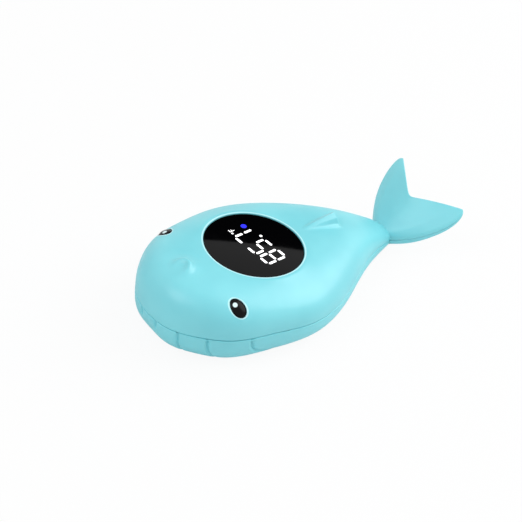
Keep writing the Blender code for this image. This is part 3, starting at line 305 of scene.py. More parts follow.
CELL_X = CELL_RADIUS + CELL_SPACING / 2
BAY_HALF_WIDTH = CELL_X + CELL_RADIUS + BAY_SIDE_GAP
BAY_END = BAY_START + CELL_LENGTH + SPRING_LENGTH + 2 * PLATE_THICKNESS + 5 * FIT_GAP
DOOR_TOP = DOOR_SUNK + DOOR_THICKNESS
DOOR_SEAT = DOOR_TOP + DOOR_GASKET_THICKNESS + 2 * FIT_GAP
PAD_TOP = DOOR_SEAT + DOOR_LEDGE
BAY_TOP = DOOR_SEAT + 2 * CELL_RADIUS + FIT_GAP
DOOR_HALF_WIDTH = BAY_HALF_WIDTH + DOOR_OVERLAP
DOOR_START = BAY_START - DOOR_END_OVERLAP
DOOR_END = BAY_END + DOOR_END_OVERLAP
DOOR_SCREW_PLACES = (DOOR_START + DOOR_SCREW_INSET, DOOR_END - DOOR_SCREW_INSET)
DOOR_HEAD_SEAT = DOOR_SUNK + DOOR_HEAD_HEIGHT

# Mesh fineness
BODY_ROWS = 190
TOP_STEPS = 104
SIDE_STEPS = 42
FLUKE_ROWS = 46
TRAILING_ROWS = 8
TRAILING_SHARE = 0.04
TRAILING_LEFT = 0.04
FIN_ROW_STEP = 0.45 * MM
FIN_FALL_STEP = 0.18 * MM
FIN_FALL_LEAD = 0.8 * MM
FIN_FALL_ROOM = 0.6 * MM
FIN_ROW_ROOM = 5e-4         # of the square root of the distance from the nose
PLEAT_POINTS = 60
HALVINGS = 30
ROOM_ROWS = 31
ROOM_STEPS = 33

# Studio. The card's top edge lies on the reflections of the line across the lens.
FLOOR_HALF = 3.0
FLOOR_COLOUR = (0.8, 0.8, 0.8, 1.0)
FLOOR_GLOW = 0.92           # share of plain white that the camera sees in the floor
WORLD_LIGHT = 0.63
CARD_EDGE = (mm(-725.6, 676.2, 677.5), mm(-697.7, 722.4, 666.5))
CARD_STRETCH = 6.0
CARD_DROP = 350.0 * MM


def along(distance):
    """Y of a place given by its distance from the nose."""
    return distance - LENGTH / 2


def smooth_curve(knots, values):
    """Natural cubic spline through the values at the knots, for numbers and arrays."""
    knots = np.asarray(knots, float)
    values = np.asarray(values, float)
    step = np.diff(knots)
    count = len(knots)
    system = np.eye(count)
    bend = np.zeros(count)
    for i in range(1, count - 1):
        system[i, i - 1:i + 2] = step[i - 1], 2 * (step[i - 1] + step[i]), step[i]
        rise = (values[i + 1] - values[i]) / step[i]
        run = (values[i] - values[i - 1]) / step[i - 1]
        bend[i] = 6 * (rise - run)
    second = np.linalg.solve(system, bend)

    def at(place):
        i = np.clip(np.searchsorted(knots, place, side="right") - 1, 0, count - 2)
        a = (knots[i + 1] - place) / step[i]
        b = (place - knots[i]) / step[i]
        bow = ((a ** 3 - a) * second[i] + (b ** 3 - b) * second[i + 1]) * step[i] ** 2 / 6
        return a * values[i] + b * values[i + 1] + bow

    return at


ROWS = list(STATIONS.values())
ROOTS = [math.sqrt(row[0]) for row in ROWS]
HALF_WIDTH = smooth_curve(ROOTS, [row[1] for row in ROWS])
RISE = smooth_curve(ROOTS, [row[2] for row in ROWS])
DEPTH = smooth_curve(ROOTS, [row[3] for row in ROWS])
SEAM_HEIGHT = smooth_curve(ROOTS, [row[4] for row in ROWS])
STEM = STATIONS["tail_stem"]


def smooth_step(value):
    value = np.clip(value, 0.0, 1.0)
    return value * value * (3 - 2 * value)


def slants(roots):
    """Direction of the plan's outline at the square roots of distances from the nose."""
    small = 1e-4
    ahead = roots + small
    dy = ahead ** 2 - roots ** 2
    d_width = HALF_WIDTH(ahead) - HALF_WIDTH(roots)
    slant = np.hypot(dy, d_width)
    return dy / slant, d_width / slant


def inset_section(roots, inset):
    """Plan and profile of the body moved in by inset."""
    small = 1e-4
    ahead = roots + small
    dy = ahead ** 2 - roots ** 2
    run, climb = slants(roots)
    rise = RISE(roots) - inset * dy / np.hypot(dy, RISE(ahead) - RISE(roots))
    depth = DEPTH(roots) - inset * dy / np.hypot(dy, DEPTH(ahead) - DEPTH(roots))
    return roots ** 2 + inset * climb, HALF_WIDTH(roots) - inset * run, rise, depth


def section_shares(power):
    """Across and up shares over one section, even over the top and finer towards the seams."""
    corner = 0.5 ** (1 / power)
    top = np.linspace(-corner, corner, TOP_STEPS + 1)
    side = np.linspace(1.0, 0.0, SIDE_STEPS + 1)[1:] ** 1.5 * corner
    side_across = (1 - side ** power) ** (1 / power)
    across = np.concatenate([-side_across[::-1], top, side_across])
    up = np.concatenate([side[::-1], (1 - np.abs(top) ** power) ** (1 / power), side])
    return across, up


def back_height(x, distance):
    """Height of the plain back over a place."""
    root = np.sqrt(distance)
    share = np.minimum(np.abs(x) / HALF_WIDTH(root), 1.0)
    bow = (1 - share ** BACK_FULLNESS) ** (1 / BACK_FULLNESS)
    return SEAM_HEIGHT(root) + RISE(root) * bow


def back_frame(x, distance, lean):
    """Frame on the back: Z out of the surface, X up the slope, turned by lean."""
    step = 0.2 * MM
    here = Vector((x, along(distance), float(back_height(x, distance))))
    slope_x = float(back_height(x + step, distance) - back_height(x - step, distance))
    slope_y = float(back_height(x, distance + step) - back_height(x, distance - step))
    out = Vector((-slope_x, -slope_y, 2 * step)).normalized()
    uphill = Vector((-math.copysign(1.0, x), 0.0, 0.0))
    uphill = (uphill - out * uphill.dot(out)).normalized()
    turn = Matrix.Rotation(math.copysign(lean, x), 3, out)
    uphill = turn @ uphill
    side = out.cross(uphill)
    rotation = Matrix((uphill, side, out)).transposed()
    return Matrix.Translation(here) @ rotation.to_4x4()


def at(x, y, z=0.0):
    return Matrix.Translation((x, y, z))


def display_place(x=0.0, y=0.0, z=0.0):
    """Place in the display's tilted frame, whose Z = 0 is the face of the lens."""
    middle = at(0.0, along(DISPLAY_DISTANCE), DISPLAY_HEIGHT)
    tilt = Matrix.Rotation(-DISPLAY_TILT, 4, "X")
    return middle @ tilt @ at(x, y, z)


def digit_place():
    return display_place() @ Matrix.Rotation(DIGIT_TURN, 4, "Z")


# Body surfaces as grids of points

def with_fin_rows(roots):
    """Rows of the back, with finer ones where the dorsal fin stands."""
    run = np.arange(FIN_FRONT, FIN_PEAK - FIN_FALL_LEAD, FIN_ROW_STEP)
    fall = np.arange(FIN_PEAK - FIN_FALL_LEAD, FIN_PEAK + FIN_FALL + FIN_FALL_ROOM, FIN_FALL_STEP)
    fine = np.sqrt(np.concatenate([run, fall]))
    outside = (roots < fine[0] - FIN_ROW_ROOM) | (roots > fine[-1] + FIN_ROW_ROOM)
    return np.sort(np.concatenate([roots[outside], fine]))


def body_grid(side):
    """Outer points of half the body: rows from the nose to the tail stem."""
    power = BACK_FULLNESS if side > 0 else BELLY_FULLNESS
    across, up = section_shares(power)
    roots = np.linspace(0.0, math.sqrt(STEM[0]), BODY_ROWS + 1)
    if side > 0:
        roots = with_fin_rows(roots)
    height = (RISE(roots) if side > 0 else DEPTH(roots)) - SEAM_GAP / 2
    height = np.maximum(height, 0.0)[:, None]
    lift = height * up[None, :]
    near_edge = np.clip(SEAM_ROUND - lift, 0.0, SEAM_ROUND)
    inset = SEAM_ROUND - np.sqrt(SEAM_ROUND ** 2 - near_edge ** 2)
    inset = np.minimum(inset, 0.3 * HALF_WIDTH(roots)[:, None])
    run, climb = slants(roots)
    width = HALF_WIDTH(roots)[:, None] - inset * run[:, None]
    distance = (roots ** 2)[:, None] + inset * climb[:, None]
    start = SEAM_HEIGHT(roots)[:, None] + side * SEAM_GAP / 2
    grid = np.stack([across[None, :] * width, along(distance), start + side * lift], axis=-1)
    grid[:, :, 2] = np.maximum(grid[:, :, 2], 0.0)
    return grid


def fluke_top(share, blend):
    """Share of the upper half's thickness across the fluke: a flat face with a bevel."""
    pillow = (1 - share ** BACK_FULLNESS) ** (1 / BACK_FULLNESS)
    past = (share - FLUKE_FLAT_SHARE) / (1 - FLUKE_FLAT_SHARE)
    slope = (past + np.sqrt(past ** 2 + FLUKE_BEVEL_SOFT)) / 2
    end = np.clip((share - FLUKE_EDGE_START) / (1 - FLUKE_EDGE_START), 0.0, 1.0)
    bevel = (1 - FLUKE_BEVEL_DROP * slope) * np.sqrt(1 - end ** 2)
    return pillow + (bevel - pillow) * blend


def fluke_under(share, blend):
    """Share of the lower half's thickness across the fluke: fuller than the belly."""
    fullness = BELLY_FULLNESS + (FLUKE_EDGE_FULLNESS - BELLY_FULLNESS) * blend
    return (1 - share ** fullness) ** (1 / fullness)


def rounded_share(share, rounding):
    """Share from 0 to 1 whose corner at the middle of the body is rounded."""
    return (np.sqrt(share ** 2 + rounding ** 2) - rounding) / (math.hypot(1, rounding) - rounding)


def fluke_rows():
    """Shares of the way from the stem to the trailing edge, and how open the plate is there."""
    turn = np.linspace(0.0, math.pi / 2, TRAILING_ROWS + 1)[1:]
    plain = np.linspace(0.0, 1.0 - TRAILING_SHARE, FLUKE_ROWS + 1)[1:]
    rows = np.concatenate([plain, 1.0 - TRAILING_SHARE * (1 - np.sin(turn))])
    rounding = np.cos(turn) * (1 - TRAILING_LEFT) + TRAILING_LEFT
    return rows, np.concatenate([np.ones(len(plain)), rounding])


def fluke_seam(q, across, side):
    """Points on the seam's surface in the fluke, a grid of shares along and across."""
    share = np.abs(across)
    rim = [(STEM[1], STEM[0], STEM[4]), FLUKE_BEND, FLUKE_SWELL, FLUKE_TIP, FLUKE_TURN]
    rim_x, rim_y, rim_z = [smooth_curve(FLUKE_KNOTS, [p[k] for p in rim])(q) for k in range(3)]
    soft = rounded_share(share, FLUKE_NOTCH_ROUND)
    wide = rounded_share(share, FLUKE_RIDGE_ROUND)
    mid_y = STEM[0] + (FLUKE_NOTCH[1] - STEM[0]) * q
    climb = (FLUKE_NOTCH[2] - STEM[4]) / (FLUKE_NOTCH[1] - STEM[0])
    fall = STEM[4] + climb * (rim_y - STEM[0]) - rim_z
    x = rim_x[:, None] * across[None, :]
    y = mid_y[:, None] + (rim_y - mid_y)[:, None] * soft[None, :]
    z = STEM[4] + climb * (y - STEM[0]) - fall[:, None] * wide[None, :] + side * SEAM_GAP / 2
    z += FLUKE_SEAM_LIFT * smooth_step(q / FLUKE_LIFT_END)[:, None]
    return np.stack([x, along(y), z], axis=-1)


def fluke_grid(side):
    """Outer points of half the fluke from the stem to the trailing edge, and its seam's."""
    across, _ = section_shares(BACK_FULLNESS if side > 0 else BELLY_FULLNESS)
    share = np.abs(across)[None, :]
    q, opened = fluke_rows()
    stem_height, edge = (STEM[2], FLUKE_EDGE_TOP) if side > 0 else (STEM[3], FLUKE_EDGE_LOW)
    height = edge + (stem_height - edge) * (1 - q) ** 2
    height *= 1 - FLUKE_THINNING * smooth_step((q - FLUKE_THIN_START) / (1 - FLUKE_THIN_START))
    height = ((height - SEAM_GAP / 2) * opened)[:, None]
    blend = smooth_step(q / FLUKE_BLEND_END)[:, None]
    if side > 0:
        dish = FLUKE_DISH * np.sin(math.pi * q)[:, None]
        lift = height * fluke_top(share, blend)
        lift = lift - dish * (1 - smooth_step(share / FLUKE_DISH_WIDTH))
    else:
        lift = height * fluke_under(share, blend)
    seam = fluke_seam(q, across, side)
    skin = seam.copy()
    skin[..., 2] += side * np.maximum(lift, 0.0)
    return skin, seam


def grid_normals(grid):
    """Unit normals of a grid of points."""
    down = np.gradient(grid, axis=0)
    across = np.gradient(grid, axis=1)
    normal = np.cross(across, down)
    size = np.linalg.norm(normal, axis=-1, keepdims=True)
    return normal / np.maximum(size, 1e-12)


def raise_fin(x, distance):
    """Height of the dorsal fin above the back."""
    run = np.clip((distance - FIN_FRONT) / (FIN_PEAK - FIN_FRONT), 0.0, 1.0)
    fall = 1 - smooth_step((distance - FIN_PEAK + FIN_CREST) / (FIN_FALL + FIN_CREST))
    half = FIN_FRONT_WIDTH + (FIN_HALF_WIDTH - FIN_FRONT_WIDTH) * run ** FIN_WIDENING
    reach = np.abs(x) / half
    roof = 1 - np.clip(reach / FIN_ROOF_WIDTH, 0.0, 1.0)
    wall = 1 - smooth_step((reach - FIN_WALL_START) / FIN_WALL_WIDTH)
    foot = 1 - smooth_step((reach - FIN_FOOT_START) / FIN_FOOT_WIDTH)
    side = FIN_ROOF_SHARE * roof + FIN_WALL_SHARE * wall + FIN_FOOT_SHARE * foot
    return FIN_HEIGHT * run ** FIN_CLIMB * fall * side


def raise_blowhole(x, distance):
    """Height of the soft mound and of its crescent ridge, which opens towards the head."""
    reach = np.hypot(x - BLOWHOLE_PLACE[0], distance - BLOWHOLE_PLACE[1]) / BLOWHOLE_REACH
    mound = BLOWHOLE_HEIGHT * (1 - smooth_step(reach))
    tailward = distance - DIMPLE_PLACE[1]
    inner = np.maximum(np.hypot(x - DIMPLE_PLACE[0], tailward), 1e-9)
    ridge = np.exp(-((inner - CRESCENT_RADIUS) / CRESCENT_WIDTH) ** 2) * (1 + tailward / inner) / 2
    return mound + CRESCENT_HEIGHT * ridge


def flatten_display(grid):
    """Leads the back smoothly into the flat lip around the lens."""
    to_display = np.array(display_place().inverted())
    from_display = np.array(display_place())
    local = grid @ to_display[:3, :3].T + to_display[:3, 3]
    radius = np.maximum(np.hypot(local[..., 0], local[..., 1]), 1e-9)
    rim_x = LIP_RADIUS * local[..., 0] / radius
    rim_y = LIP_RADIUS * local[..., 1] / radius
    tilt_cos, tilt_sin = math.cos(DISPLAY_TILT), math.sin(DISPLAY_TILT)
    rim_height = DISPLAY_HEIGHT - rim_y * tilt_sin + LIP_HEIGHT * tilt_cos
    drop = rim_height - back_height(rim_x, DISPLAY_DISTANCE + rim_y * tilt_cos)
    fade = np.clip(1 - (radius - LIP_RADIUS) / LIP_BLEND, 0.0, 1.0)
    raised = local[..., 2] + drop * fade ** 2
    local[..., 2] = np.where(radius < LIP_RADIUS, LIP_HEIGHT, raised)
    return local @ from_display[:3, :3].T + from_display[:3, 3]


def pleat_path(offset):
    """Points where an upright plane at a side offset meets the belly, from the seam down."""
    widest = math.sqrt(STATIONS["girth"][0] * 0.9)
    points = []
    for angle in np.linspace(0.0, PLEAT_END_ANGLE, PLEAT_POINTS):
        across = math.cos(angle) ** (2 / BELLY_FULLNESS)
        down = math.sin(angle) ** (2 / BELLY_FULLNESS)
        low, high = ROOTS[0], widest
        if HALF_WIDTH(high) * across < offset:
            break
        for _ in range(HALVINGS):
            middle = (low + high) / 2
            if HALF_WIDTH(middle) * across < offset:
                low = middle
            else:
                high = middle
        z = float(SEAM_HEIGHT(high) - DEPTH(high) * down)
        points.append((offset, along(high ** 2), max(z, 0.0)))
    return np.array(points)


def press_pleats(grid):
    """Presses the pleats into the belly, each with a soft shoulder on both sides."""
    normals = grid_normals(grid)
    flat = grid.reshape(-1, 3)
    push = np.zeros(len(flat))
    for offset in PLEAT_OFFSETS:
        path = pleat_path(offset)
        for side in (-1, 1):
            line = path * np.array([side, 1, 1])
            near = np.abs(flat[:, 0] - side * offset) < PLEAT_NEAR
            near &= flat[:, 1] < line[:, 1].max() + PLEAT_NEAR
            spots = flat[near]
            gaps = np.linalg.norm(spots[:, None, :] - line[None, :, :], axis=-1)
            nearest = gaps.argmin(axis=1)
            gap = gaps.min(axis=1)
            share = nearest / (len(line) - 1)
            fade = 1 - smooth_step((share - PLEAT_FADE_START) / PLEAT_FADE_WIDTH)
            groove = np.exp(-(gap / PLEAT_REACH) ** 2)
            shoulder = np.exp(-((gap - PLEAT_SHOULDER * PLEAT_REACH) / PLEAT_REACH) ** 2)
            push[near] += fade * (PLEAT_DEPTH * groove - PLEAT_SWELL * shoulder)
    push = push.reshape(grid.shape[:2])
    push[:PLEAT_FIRST_ROW] = 0.0
    inward = normals * np.sign(normals[..., 2].mean())
    return grid + inward * push[..., None]


# Meshes and objects

def new_mesh(name, points, faces):
    mesh = bpy.data.meshes.new(name)
    mesh.from_pydata(points, [], faces)
    shape = bmesh.new()
    shape.from_mesh(mesh)
    bmesh.ops.remove_doubles(shape, verts=shape.verts, dist=2e-6)
    bmesh.ops.dissolve_degenerate(shape, edges=shape.edges, dist=1e-7)
    bmesh.ops.triangulate(shape, faces=[face for face in shape.faces if len(face.verts) > 3])
    bmesh.ops.recalc_face_normals(shape, faces=shape.faces)
    shape.to_mesh(mesh)
    shape.free()
    return mesh


def grid_faces(rows, columns, base=0):
    """Quads of a grid of points that starts at number base."""
    faces = []
    for i in range(rows - 1):
        for j in range(columns - 1):
            k = base + i * columns + j
            faces.append((k, k + 1, k + 1 + columns, k + columns))
    return faces


def closed_grid(name, skin, bent=None):
    """Closed solid over the seam's plane, which is bent under the last rows if bent is given."""
    rows, columns = skin.shape[:2]
    bent_rows = 0 if bent is None else len(bent)
    points = [tuple(point) for point in skin.reshape(-1, 3)]
    faces = grid_faces(rows, columns)
    for i in range(rows - bent_rows - 1):
        left, right = i * columns, i * columns + columns - 1
        faces.append((left, left + columns, right + columns, right))
    if abs(skin[0, 0, 0] - skin[0, -1, 0]) > 1e-6:
        faces.append(tuple(range(columns)))
    last = (rows - 1) * columns
    if bent is None:
        faces.append(tuple(range(last, last + columns)))
        return new_mesh(name, points, faces)
    base = len(points)
    points += [tuple(point) for point in bent.reshape(-1, 3)]
    faces += grid_faces(bent_rows, columns, base)
    left = (rows - bent_rows - 1) * columns
    faces.append((left, left + columns - 1, *range(base + columns - 1, base - 1, -1)))
    end = base + (bent_rows - 1) * columns
    for j in range(columns - 1):
        faces.append((last + j, last + j + 1, end + j + 1, end + j))
    return new_mesh(name, points, faces)


def show(name, mesh, place=None):
    """Object of a mesh, moved to its place."""
    item = bpy.data.objects.new(name, mesh)
    bpy.context.scene.collection.objects.link(item)
    if place is not None:
        mesh.transform(place)
    return item


def show_shape(name, shape, place=None):
    """Object of a bmesh, which is freed."""
    mesh = bpy.data.meshes.new(name)
    shape.to_mesh(mesh)
    shape.free()
    return show(name, mesh, place)


def combine(target, operand, operation):
    """Applies one boolean at once and removes its operand."""
    modifier = target.modifiers.new("cut", "BOOLEAN")
    modifier.operation = operation
    modifier.solver = "EXACT"
    modifier.object = operand
    view = bpy.context.evaluated_depsgraph_get()
    mesh = bpy.data.meshes.new_from_object(target.evaluated_get(view))
    target.modifiers.clear()
    shape = bmesh.new()
    shape.from_mesh(mesh)
    bmesh.ops.dissolve_degenerate(shape, edges=shape.edges, dist=1e-6)
    bmesh.ops.triangulate(shape, faces=[face for face in shape.faces if len(face.verts) > 3])
    shape.to_mesh(mesh)
    shape.free()
    old = target.data
    target.data = mesh
    bpy.data.meshes.remove(old)
    spent = operand.data
    bpy.data.objects.remove(operand, do_unlink=True)
    bpy.data.meshes.remove(spent)


def cut(target, operand):
    combine(target, operand, "DIFFERENCE")


def join(target, operand):
    combine(target, operand, "UNION")


def shade(item, angle=35.0):
    item.data.shade_smooth()
    item.data.set_sharp_from_angle(angle=math.radians(angle))


def turned(name, profile, steps=64, place=None):
    """Solid turned about Z from (radius, height) points that start and end on the axis."""
    shape = bmesh.new()
    points = [shape.verts.new((r, 0.0, z)) for r, z in profile]
    edges = [shape.edges.new((a, b)) for a, b in zip(points, points[1:])]
    bmesh.ops.spin(shape, geom=points + edges, cent=(0, 0, 0), axis=(0, 0, 1),
                   angle=2 * math.pi, steps=steps, use_merge=True)
    bmesh.ops.remove_doubles(shape, verts=shape.verts, dist=1e-7)
    bmesh.ops.recalc_face_normals(shape, faces=shape.faces)
    return show_shape(name, shape, place)


def rod(name, radius, low, high, place=None, steps=64):
    return turned(name, [(0.0, low), (radius, low), (radius, high), (0.0, high)], steps, place)


def upright(radius, low, high, x, distance, steps=24):
    """Tool of an upright rod at a place over the belly."""
    return rod("upright", radius, low, high, at(x, along(distance)), steps)


def middle_box(half_width, start, end, low, high):
    """Tool of a box over the middle of the belly, between two distances from the nose."""
    return block("middle_box", (-half_width, along(start), low), (half_width, along(end), high))


def block(name, low, high, rounding=0.0, place=None):
    """Box between two corners, with rounded edges where a rounding is given."""
    shape = bmesh.new()
    bmesh.ops.create_cube(shape, size=1.0)
    bmesh.ops.scale(shape, vec=Vector(high) - Vector(low), verts=shape.verts)
    bmesh.ops.translate(shape, vec=(Vector(high) + Vector(low)) / 2, verts=shape.verts)
    if rounding:
        bmesh.ops.bevel(shape, geom=shape.edges, offset=rounding, segments=4, profile=0.5,
                        affect="EDGES")
    return show_shape(name, shape, place)


def ball(name, radii, place=None, u_steps=64, v_steps=40):
    shape = bmesh.new()
    bmesh.ops.create_uvsphere(shape, u_segments=u_steps, v_segments=v_steps, radius=1.0)
    bmesh.ops.scale(shape, vec=radii, verts=shape.verts)
    return show_shape(name, shape, place)


def arc(centre, radius, start, end, steps=6):
    """Points of a round corner of a turned profile, angles in degrees."""
    return [(centre[0] + radius * math.cos(math.radians(a)),
             centre[1] + radius * math.sin(math.radians(a)))
            for a in np.linspace(start, end, steps + 1)]


def settle(item, slot_name, *nodes):
    """The finished piece rides on the body and stands for its solids."""
    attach(item, ROOT)
    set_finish(item, slot_name)
    if nodes:
        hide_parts(*nodes)


def finish(item, slot_name, node):
    """Shades a piece and puts it in the place of its solid."""
    shade(item)
    settle(item, slot_name, node)


# Rooms inside the shells

def inner_room(name, side):
    """Coarse room inside one shell, moved in by the wall and going on past the seam."""
    power = BACK_FULLNESS if side > 0 else BELLY_FULLNESS
    cap_shift = -side * OVERSHOOT
    roots = np.linspace(math.sqrt(HOLLOW_START), math.sqrt(HOLLOW_END), ROOM_ROWS)
    distance, width, rise, depth = inset_section(roots, WALL)
    height = rise if side > 0 else depth
    angle = np.linspace(0.0, math.pi, ROOM_STEPS)
    across = np.sign(np.cos(angle)) * np.abs(np.cos(angle)) ** (2 / power)
    up = np.abs(np.sin(angle)) ** (2 / power)
    start = SEAM_HEIGHT(roots) + cap_shift
    reach = np.maximum(height - side * cap_shift, 0.0)
    grid = np.stack([across[None, :] * width[:, None],
                     np.repeat(along(distance)[:, None], len(angle), axis=1),
                     start[:, None] + side * reach[:, None] * up[None, :]], axis=-1)
    if side < 0:
        grid[:, :, 2] = np.maximum(grid[:, :, 2], FLOOR)
    return show(name, closed_grid(name, grid))


def boss_places():
    """Place and seat of each case screw."""
    return [(side * x, distance, seat) for x, distance, seat in BOSS_PLACES for side in (-1, 1)]


def upper_room():
    """Room of the upper shell, which leaves the bosses and the collar of the display."""
    room = inner_room("upper_room", 1)
    for x, distance, _ in boss_places():
        low = float(SEAM_HEIGHT(math.sqrt(distance))) + BOSS_SEAM_GAP
        cut(room, upright(BOSS_RADIUS, low, low + LENGTH / 2, x, distance))
    cut(room, rod("collar", LIP_RADIUS, LEDGE_UNDER, LENGTH / 4, display_place()))
    join(room, rod("window", WINDOW_RADIUS, LEDGE_UNDER - OVERSHOOT, LENS_SEAT + OVERSHOOT,
                   display_place()))
    return room


def lens_seat():
    """Tool of the seat, whose upper edge rounds outwards over the lip."""
    radius = LENS_RADIUS + LENS_GAP
    top = LIP_HEIGHT - LENS_EDGE_ROUND
    edge = arc((radius + LENS_EDGE_ROUND, top), LENS_EDGE_ROUND, 180.0, 90.0)
    high = LIP_HEIGHT + 2.0 * MM
    profile = [(0.0, LENS_SEAT), (radius, LENS_SEAT)] + edge
    profile += [(radius + LENS_EDGE_ROUND, high), (0.0, high)]
    return turned("lens_seat", profile, 128, display_place())


def lower_hollow():
    """Room of the lower shell without its ways out: it leaves bosses, pad and bay walls."""
    room = inner_room("lower_room", -1)
    for x, distance, _ in boss_places():
        top = float(SEAM_HEIGHT(math.sqrt(distance))) - BOSS_SEAM_GAP
        cut(room, upright(BOSS_RADIUS, -FLOOR, top, x, distance))
    cut(room, middle_box(DOOR_HALF_WIDTH + PAD_MARGIN, DOOR_START - PAD_MARGIN,
                         DOOR_END + PAD_MARGIN, -FLOOR, PAD_TOP))
    cut(room, middle_box(BAY_HALF_WIDTH + BAY_WALL, BAY_START - BAY_WALL,
                         BAY_END + BAY_WALL, -FLOOR, BAY_TOP + BAY_WALL))
    join(room, middle_box(BAY_HALF_WIDTH, BAY_START, BAY_END, 0.0, BAY_TOP))
    return room


def lower_room():
    """Room of the lower shell with the door's recess and the ways of screws, probe and pins."""
    room = lower_hollow()
    screw_way, head_way = SCREW_RADIUS + FIT_GAP, HEAD_RADIUS + FIT_GAP
    join(room, middle_box(DOOR_HALF_WIDTH + FIT_GAP, DOOR_START - FIT_GAP,
                          DOOR_END + FIT_GAP, -OVERSHOOT, DOOR_SEAT))
    for x, distance, seat in boss_places():
        join(room, upright(screw_way, seat - SHAFT_OVERLAP, seat + SCREW_LENGTH, x, distance))
        join(room, upright(head_way, -OVERSHOOT, seat, x, distance, 48))
    for distance in DOOR_SCREW_PLACES:
        top = DOOR_HEAD_SEAT + DOOR_SCREW_LENGTH + FIT_GAP
        join(room, upright(screw_way, DOOR_SEAT - PILOT_OVERLAP, top, 0.0, distance))
    join(room, upright(PROBE_RADIUS + FIT_GAP, -OVERSHOOT, FLOOR + OVERSHOOT,
                       0.0, PROBE_DISTANCE, 64))
    join(room, upright(PROBE_RADIUS + PROBE_FLANGE + FIT_GAP, FLOOR, FLOOR + PROBE_HEIGHT,
                       0.0, PROBE_DISTANCE, 48))
    for side in (-1, 1):
        x, distance = side * PIN_PLACE[0], PIN_PLACE[1]
        top = DOOR_SUNK + PIN_HEAD_HEIGHT + FIT_GAP
        join(room, upright(PIN_RADIUS + FIT_GAP, 0.0, FLOOR + OVERSHOOT, x, distance))
        join(room, upright(PIN_HEAD_RADIUS + FIT_GAP, -OVERSHOOT, top, x, distance, 48))
    return room


def eye_places():
    for side, name in ((-1, "left"), (1, "right")):
        surface = back_frame(side * EYE_X, EYE_DISTANCE, EYE_LEAN)
        yield name, surface @ at(0.0, 0.0, EYE_PROUD - EYE_DEPTH)


# Pieces

def upper_shell():
    """Back with fin, blowhole, crease and lip, then its room, lens seat and eye sockets."""
    fluke, seam_grid = fluke_grid(1)
    grid = np.concatenate([body_grid(1), fluke])
    distance = grid[..., 1] + LENGTH / 2
    seam = SEAM_HEIGHT(np.sqrt(np.maximum(distance, 0.0)))
    high = smooth_step((grid[..., 2] - seam) / RELIEF_FADE)
    grid[..., 2] += high * raise_fin(grid[..., 0], distance)
    grid[..., 2] += high * raise_blowhole(grid[..., 0], distance)
    crease = np.exp(-((distance - CREASE_DISTANCE) / CREASE_REACH) ** 2)
    grid[..., 2] -= CREASE_DEPTH * crease * smooth_step((grid[..., 2] - seam) / CREASE_FADE)
    grid = flatten_display(grid)
    shell = show("upper_shell_skin", closed_grid("upper_shell_skin", grid, seam_grid))
    cut(shell, upper_room())
    cut(shell, lens_seat())
    radii = (EYE_HALF_LENGTH + FIT_GAP, EYE_HALF_WIDTH + FIT_GAP, EYE_DEPTH + FIT_GAP)
    for _, place in eye_places():
        cut(shell, ball("socket", radii, place))
    finish(shell, "shell_plastic", "upper_shell")


def lower_shell():
    """Belly with its pleats, pressed in before the rooms are cut."""
    fluke, seam_grid = fluke_grid(-1)
    grid = np.concatenate([press_pleats(body_grid(-1)), fluke])
    shell = show("lower_shell_skin", closed_grid("lower_shell_skin", grid, seam_grid))
    cut(shell, lower_room())
    finish(shell, "shell_plastic", "lower_shell")


def lens():
    """Lens with a rounded upper edge."""
    r, e = LENS_RADIUS, LENS_EDGE_ROUND
    profile = [(0.0, LENS_UNDER), (r, LENS_UNDER)] + arc((r - e, -e), e, 0.0, 90.0) + [(0.0, 0.0)]
    finish(turned("lens_disc", profile, 128, display_place()), "lens", "display_lens")


def flat_bar(x, y, across):
    """Outline of one bar of a digit, pointed at both ends."""
    half, wide = SEGMENT_LENGTH / 2, SEGMENT_WIDTH / 2
    outline = [(-half, 0.0), (-half + SEGMENT_POINT, wide), (half - SEGMENT_POINT, wide),
               (half, 0.0), (half - SEGMENT_POINT, -wide), (-half + SEGMENT_POINT, -wide)]
    if not across:
        outline = [(-b, a) for a, b in outline]
    return [(x + a, y + b) for a, b in outline]


def flat_disc(x, y, radius, steps=32):
    angles = [2 * math.pi * i / steps for i in range(steps)]
    return [(x + radius * math.cos(a), y + radius * math.sin(a)) for a in angles]


def flat_box(x, y, wide, tall):
    return [(x - wide / 2, y - tall / 2), (x + wide / 2, y - tall / 2),
            (x + wide / 2, y + tall / 2), (x - wide / 2, y + tall / 2)]


def figure_outlines():
    """Outlines of 85.7 and the unit, in the frame of the digits."""
    wide, tall = DIGIT_SIZE[0] / 2, DIGIT_SIZE[1] / 2
    layout = {"a": (0.0, tall, True), "b": (wide, tall / 2, False), "c": (wide, -tall / 2, False),
              "d": (0.0, -tall, True), "e": (-wide, -tall / 2, False),
              "f": (-wide, tall / 2, False), "g": (0.0, 0.0, True)}
    outlines = []
    for column, shown in zip(DIGIT_CENTRES, SHOWN_SEGMENTS):
        for letter in shown:
            x, y, across = layout[letter]
            outlines.append(flat_bar(column + x, DIGIT_ROW + y, across))
    outlines.append(flat_disc(*POINT_CENTRE, POINT_RADIUS))
    w, h = UNIT_SIZE
    side, y, stroke = UNIT_CENTRE[0] - w / 2, UNIT_CENTRE[1], UNIT_STROKE
    top, middle = y + h / 2, side + UNIT_INSET + w / 2
    outlines.append(flat_box(side + UNIT_INSET, y, stroke, h))
    outlines.append(flat_box(middle, top - stroke / 2, w - stroke, stroke))
    outlines.append(flat_box(middle - UNIT_ARM_CUT / 2, y, w - stroke - UNIT_ARM_CUT, stroke))
    outlines.append(flat_disc(side - DEGREE_GAP, top - DEGREE_RADIUS / 2, DEGREE_RADIUS, 20))
    return outlines


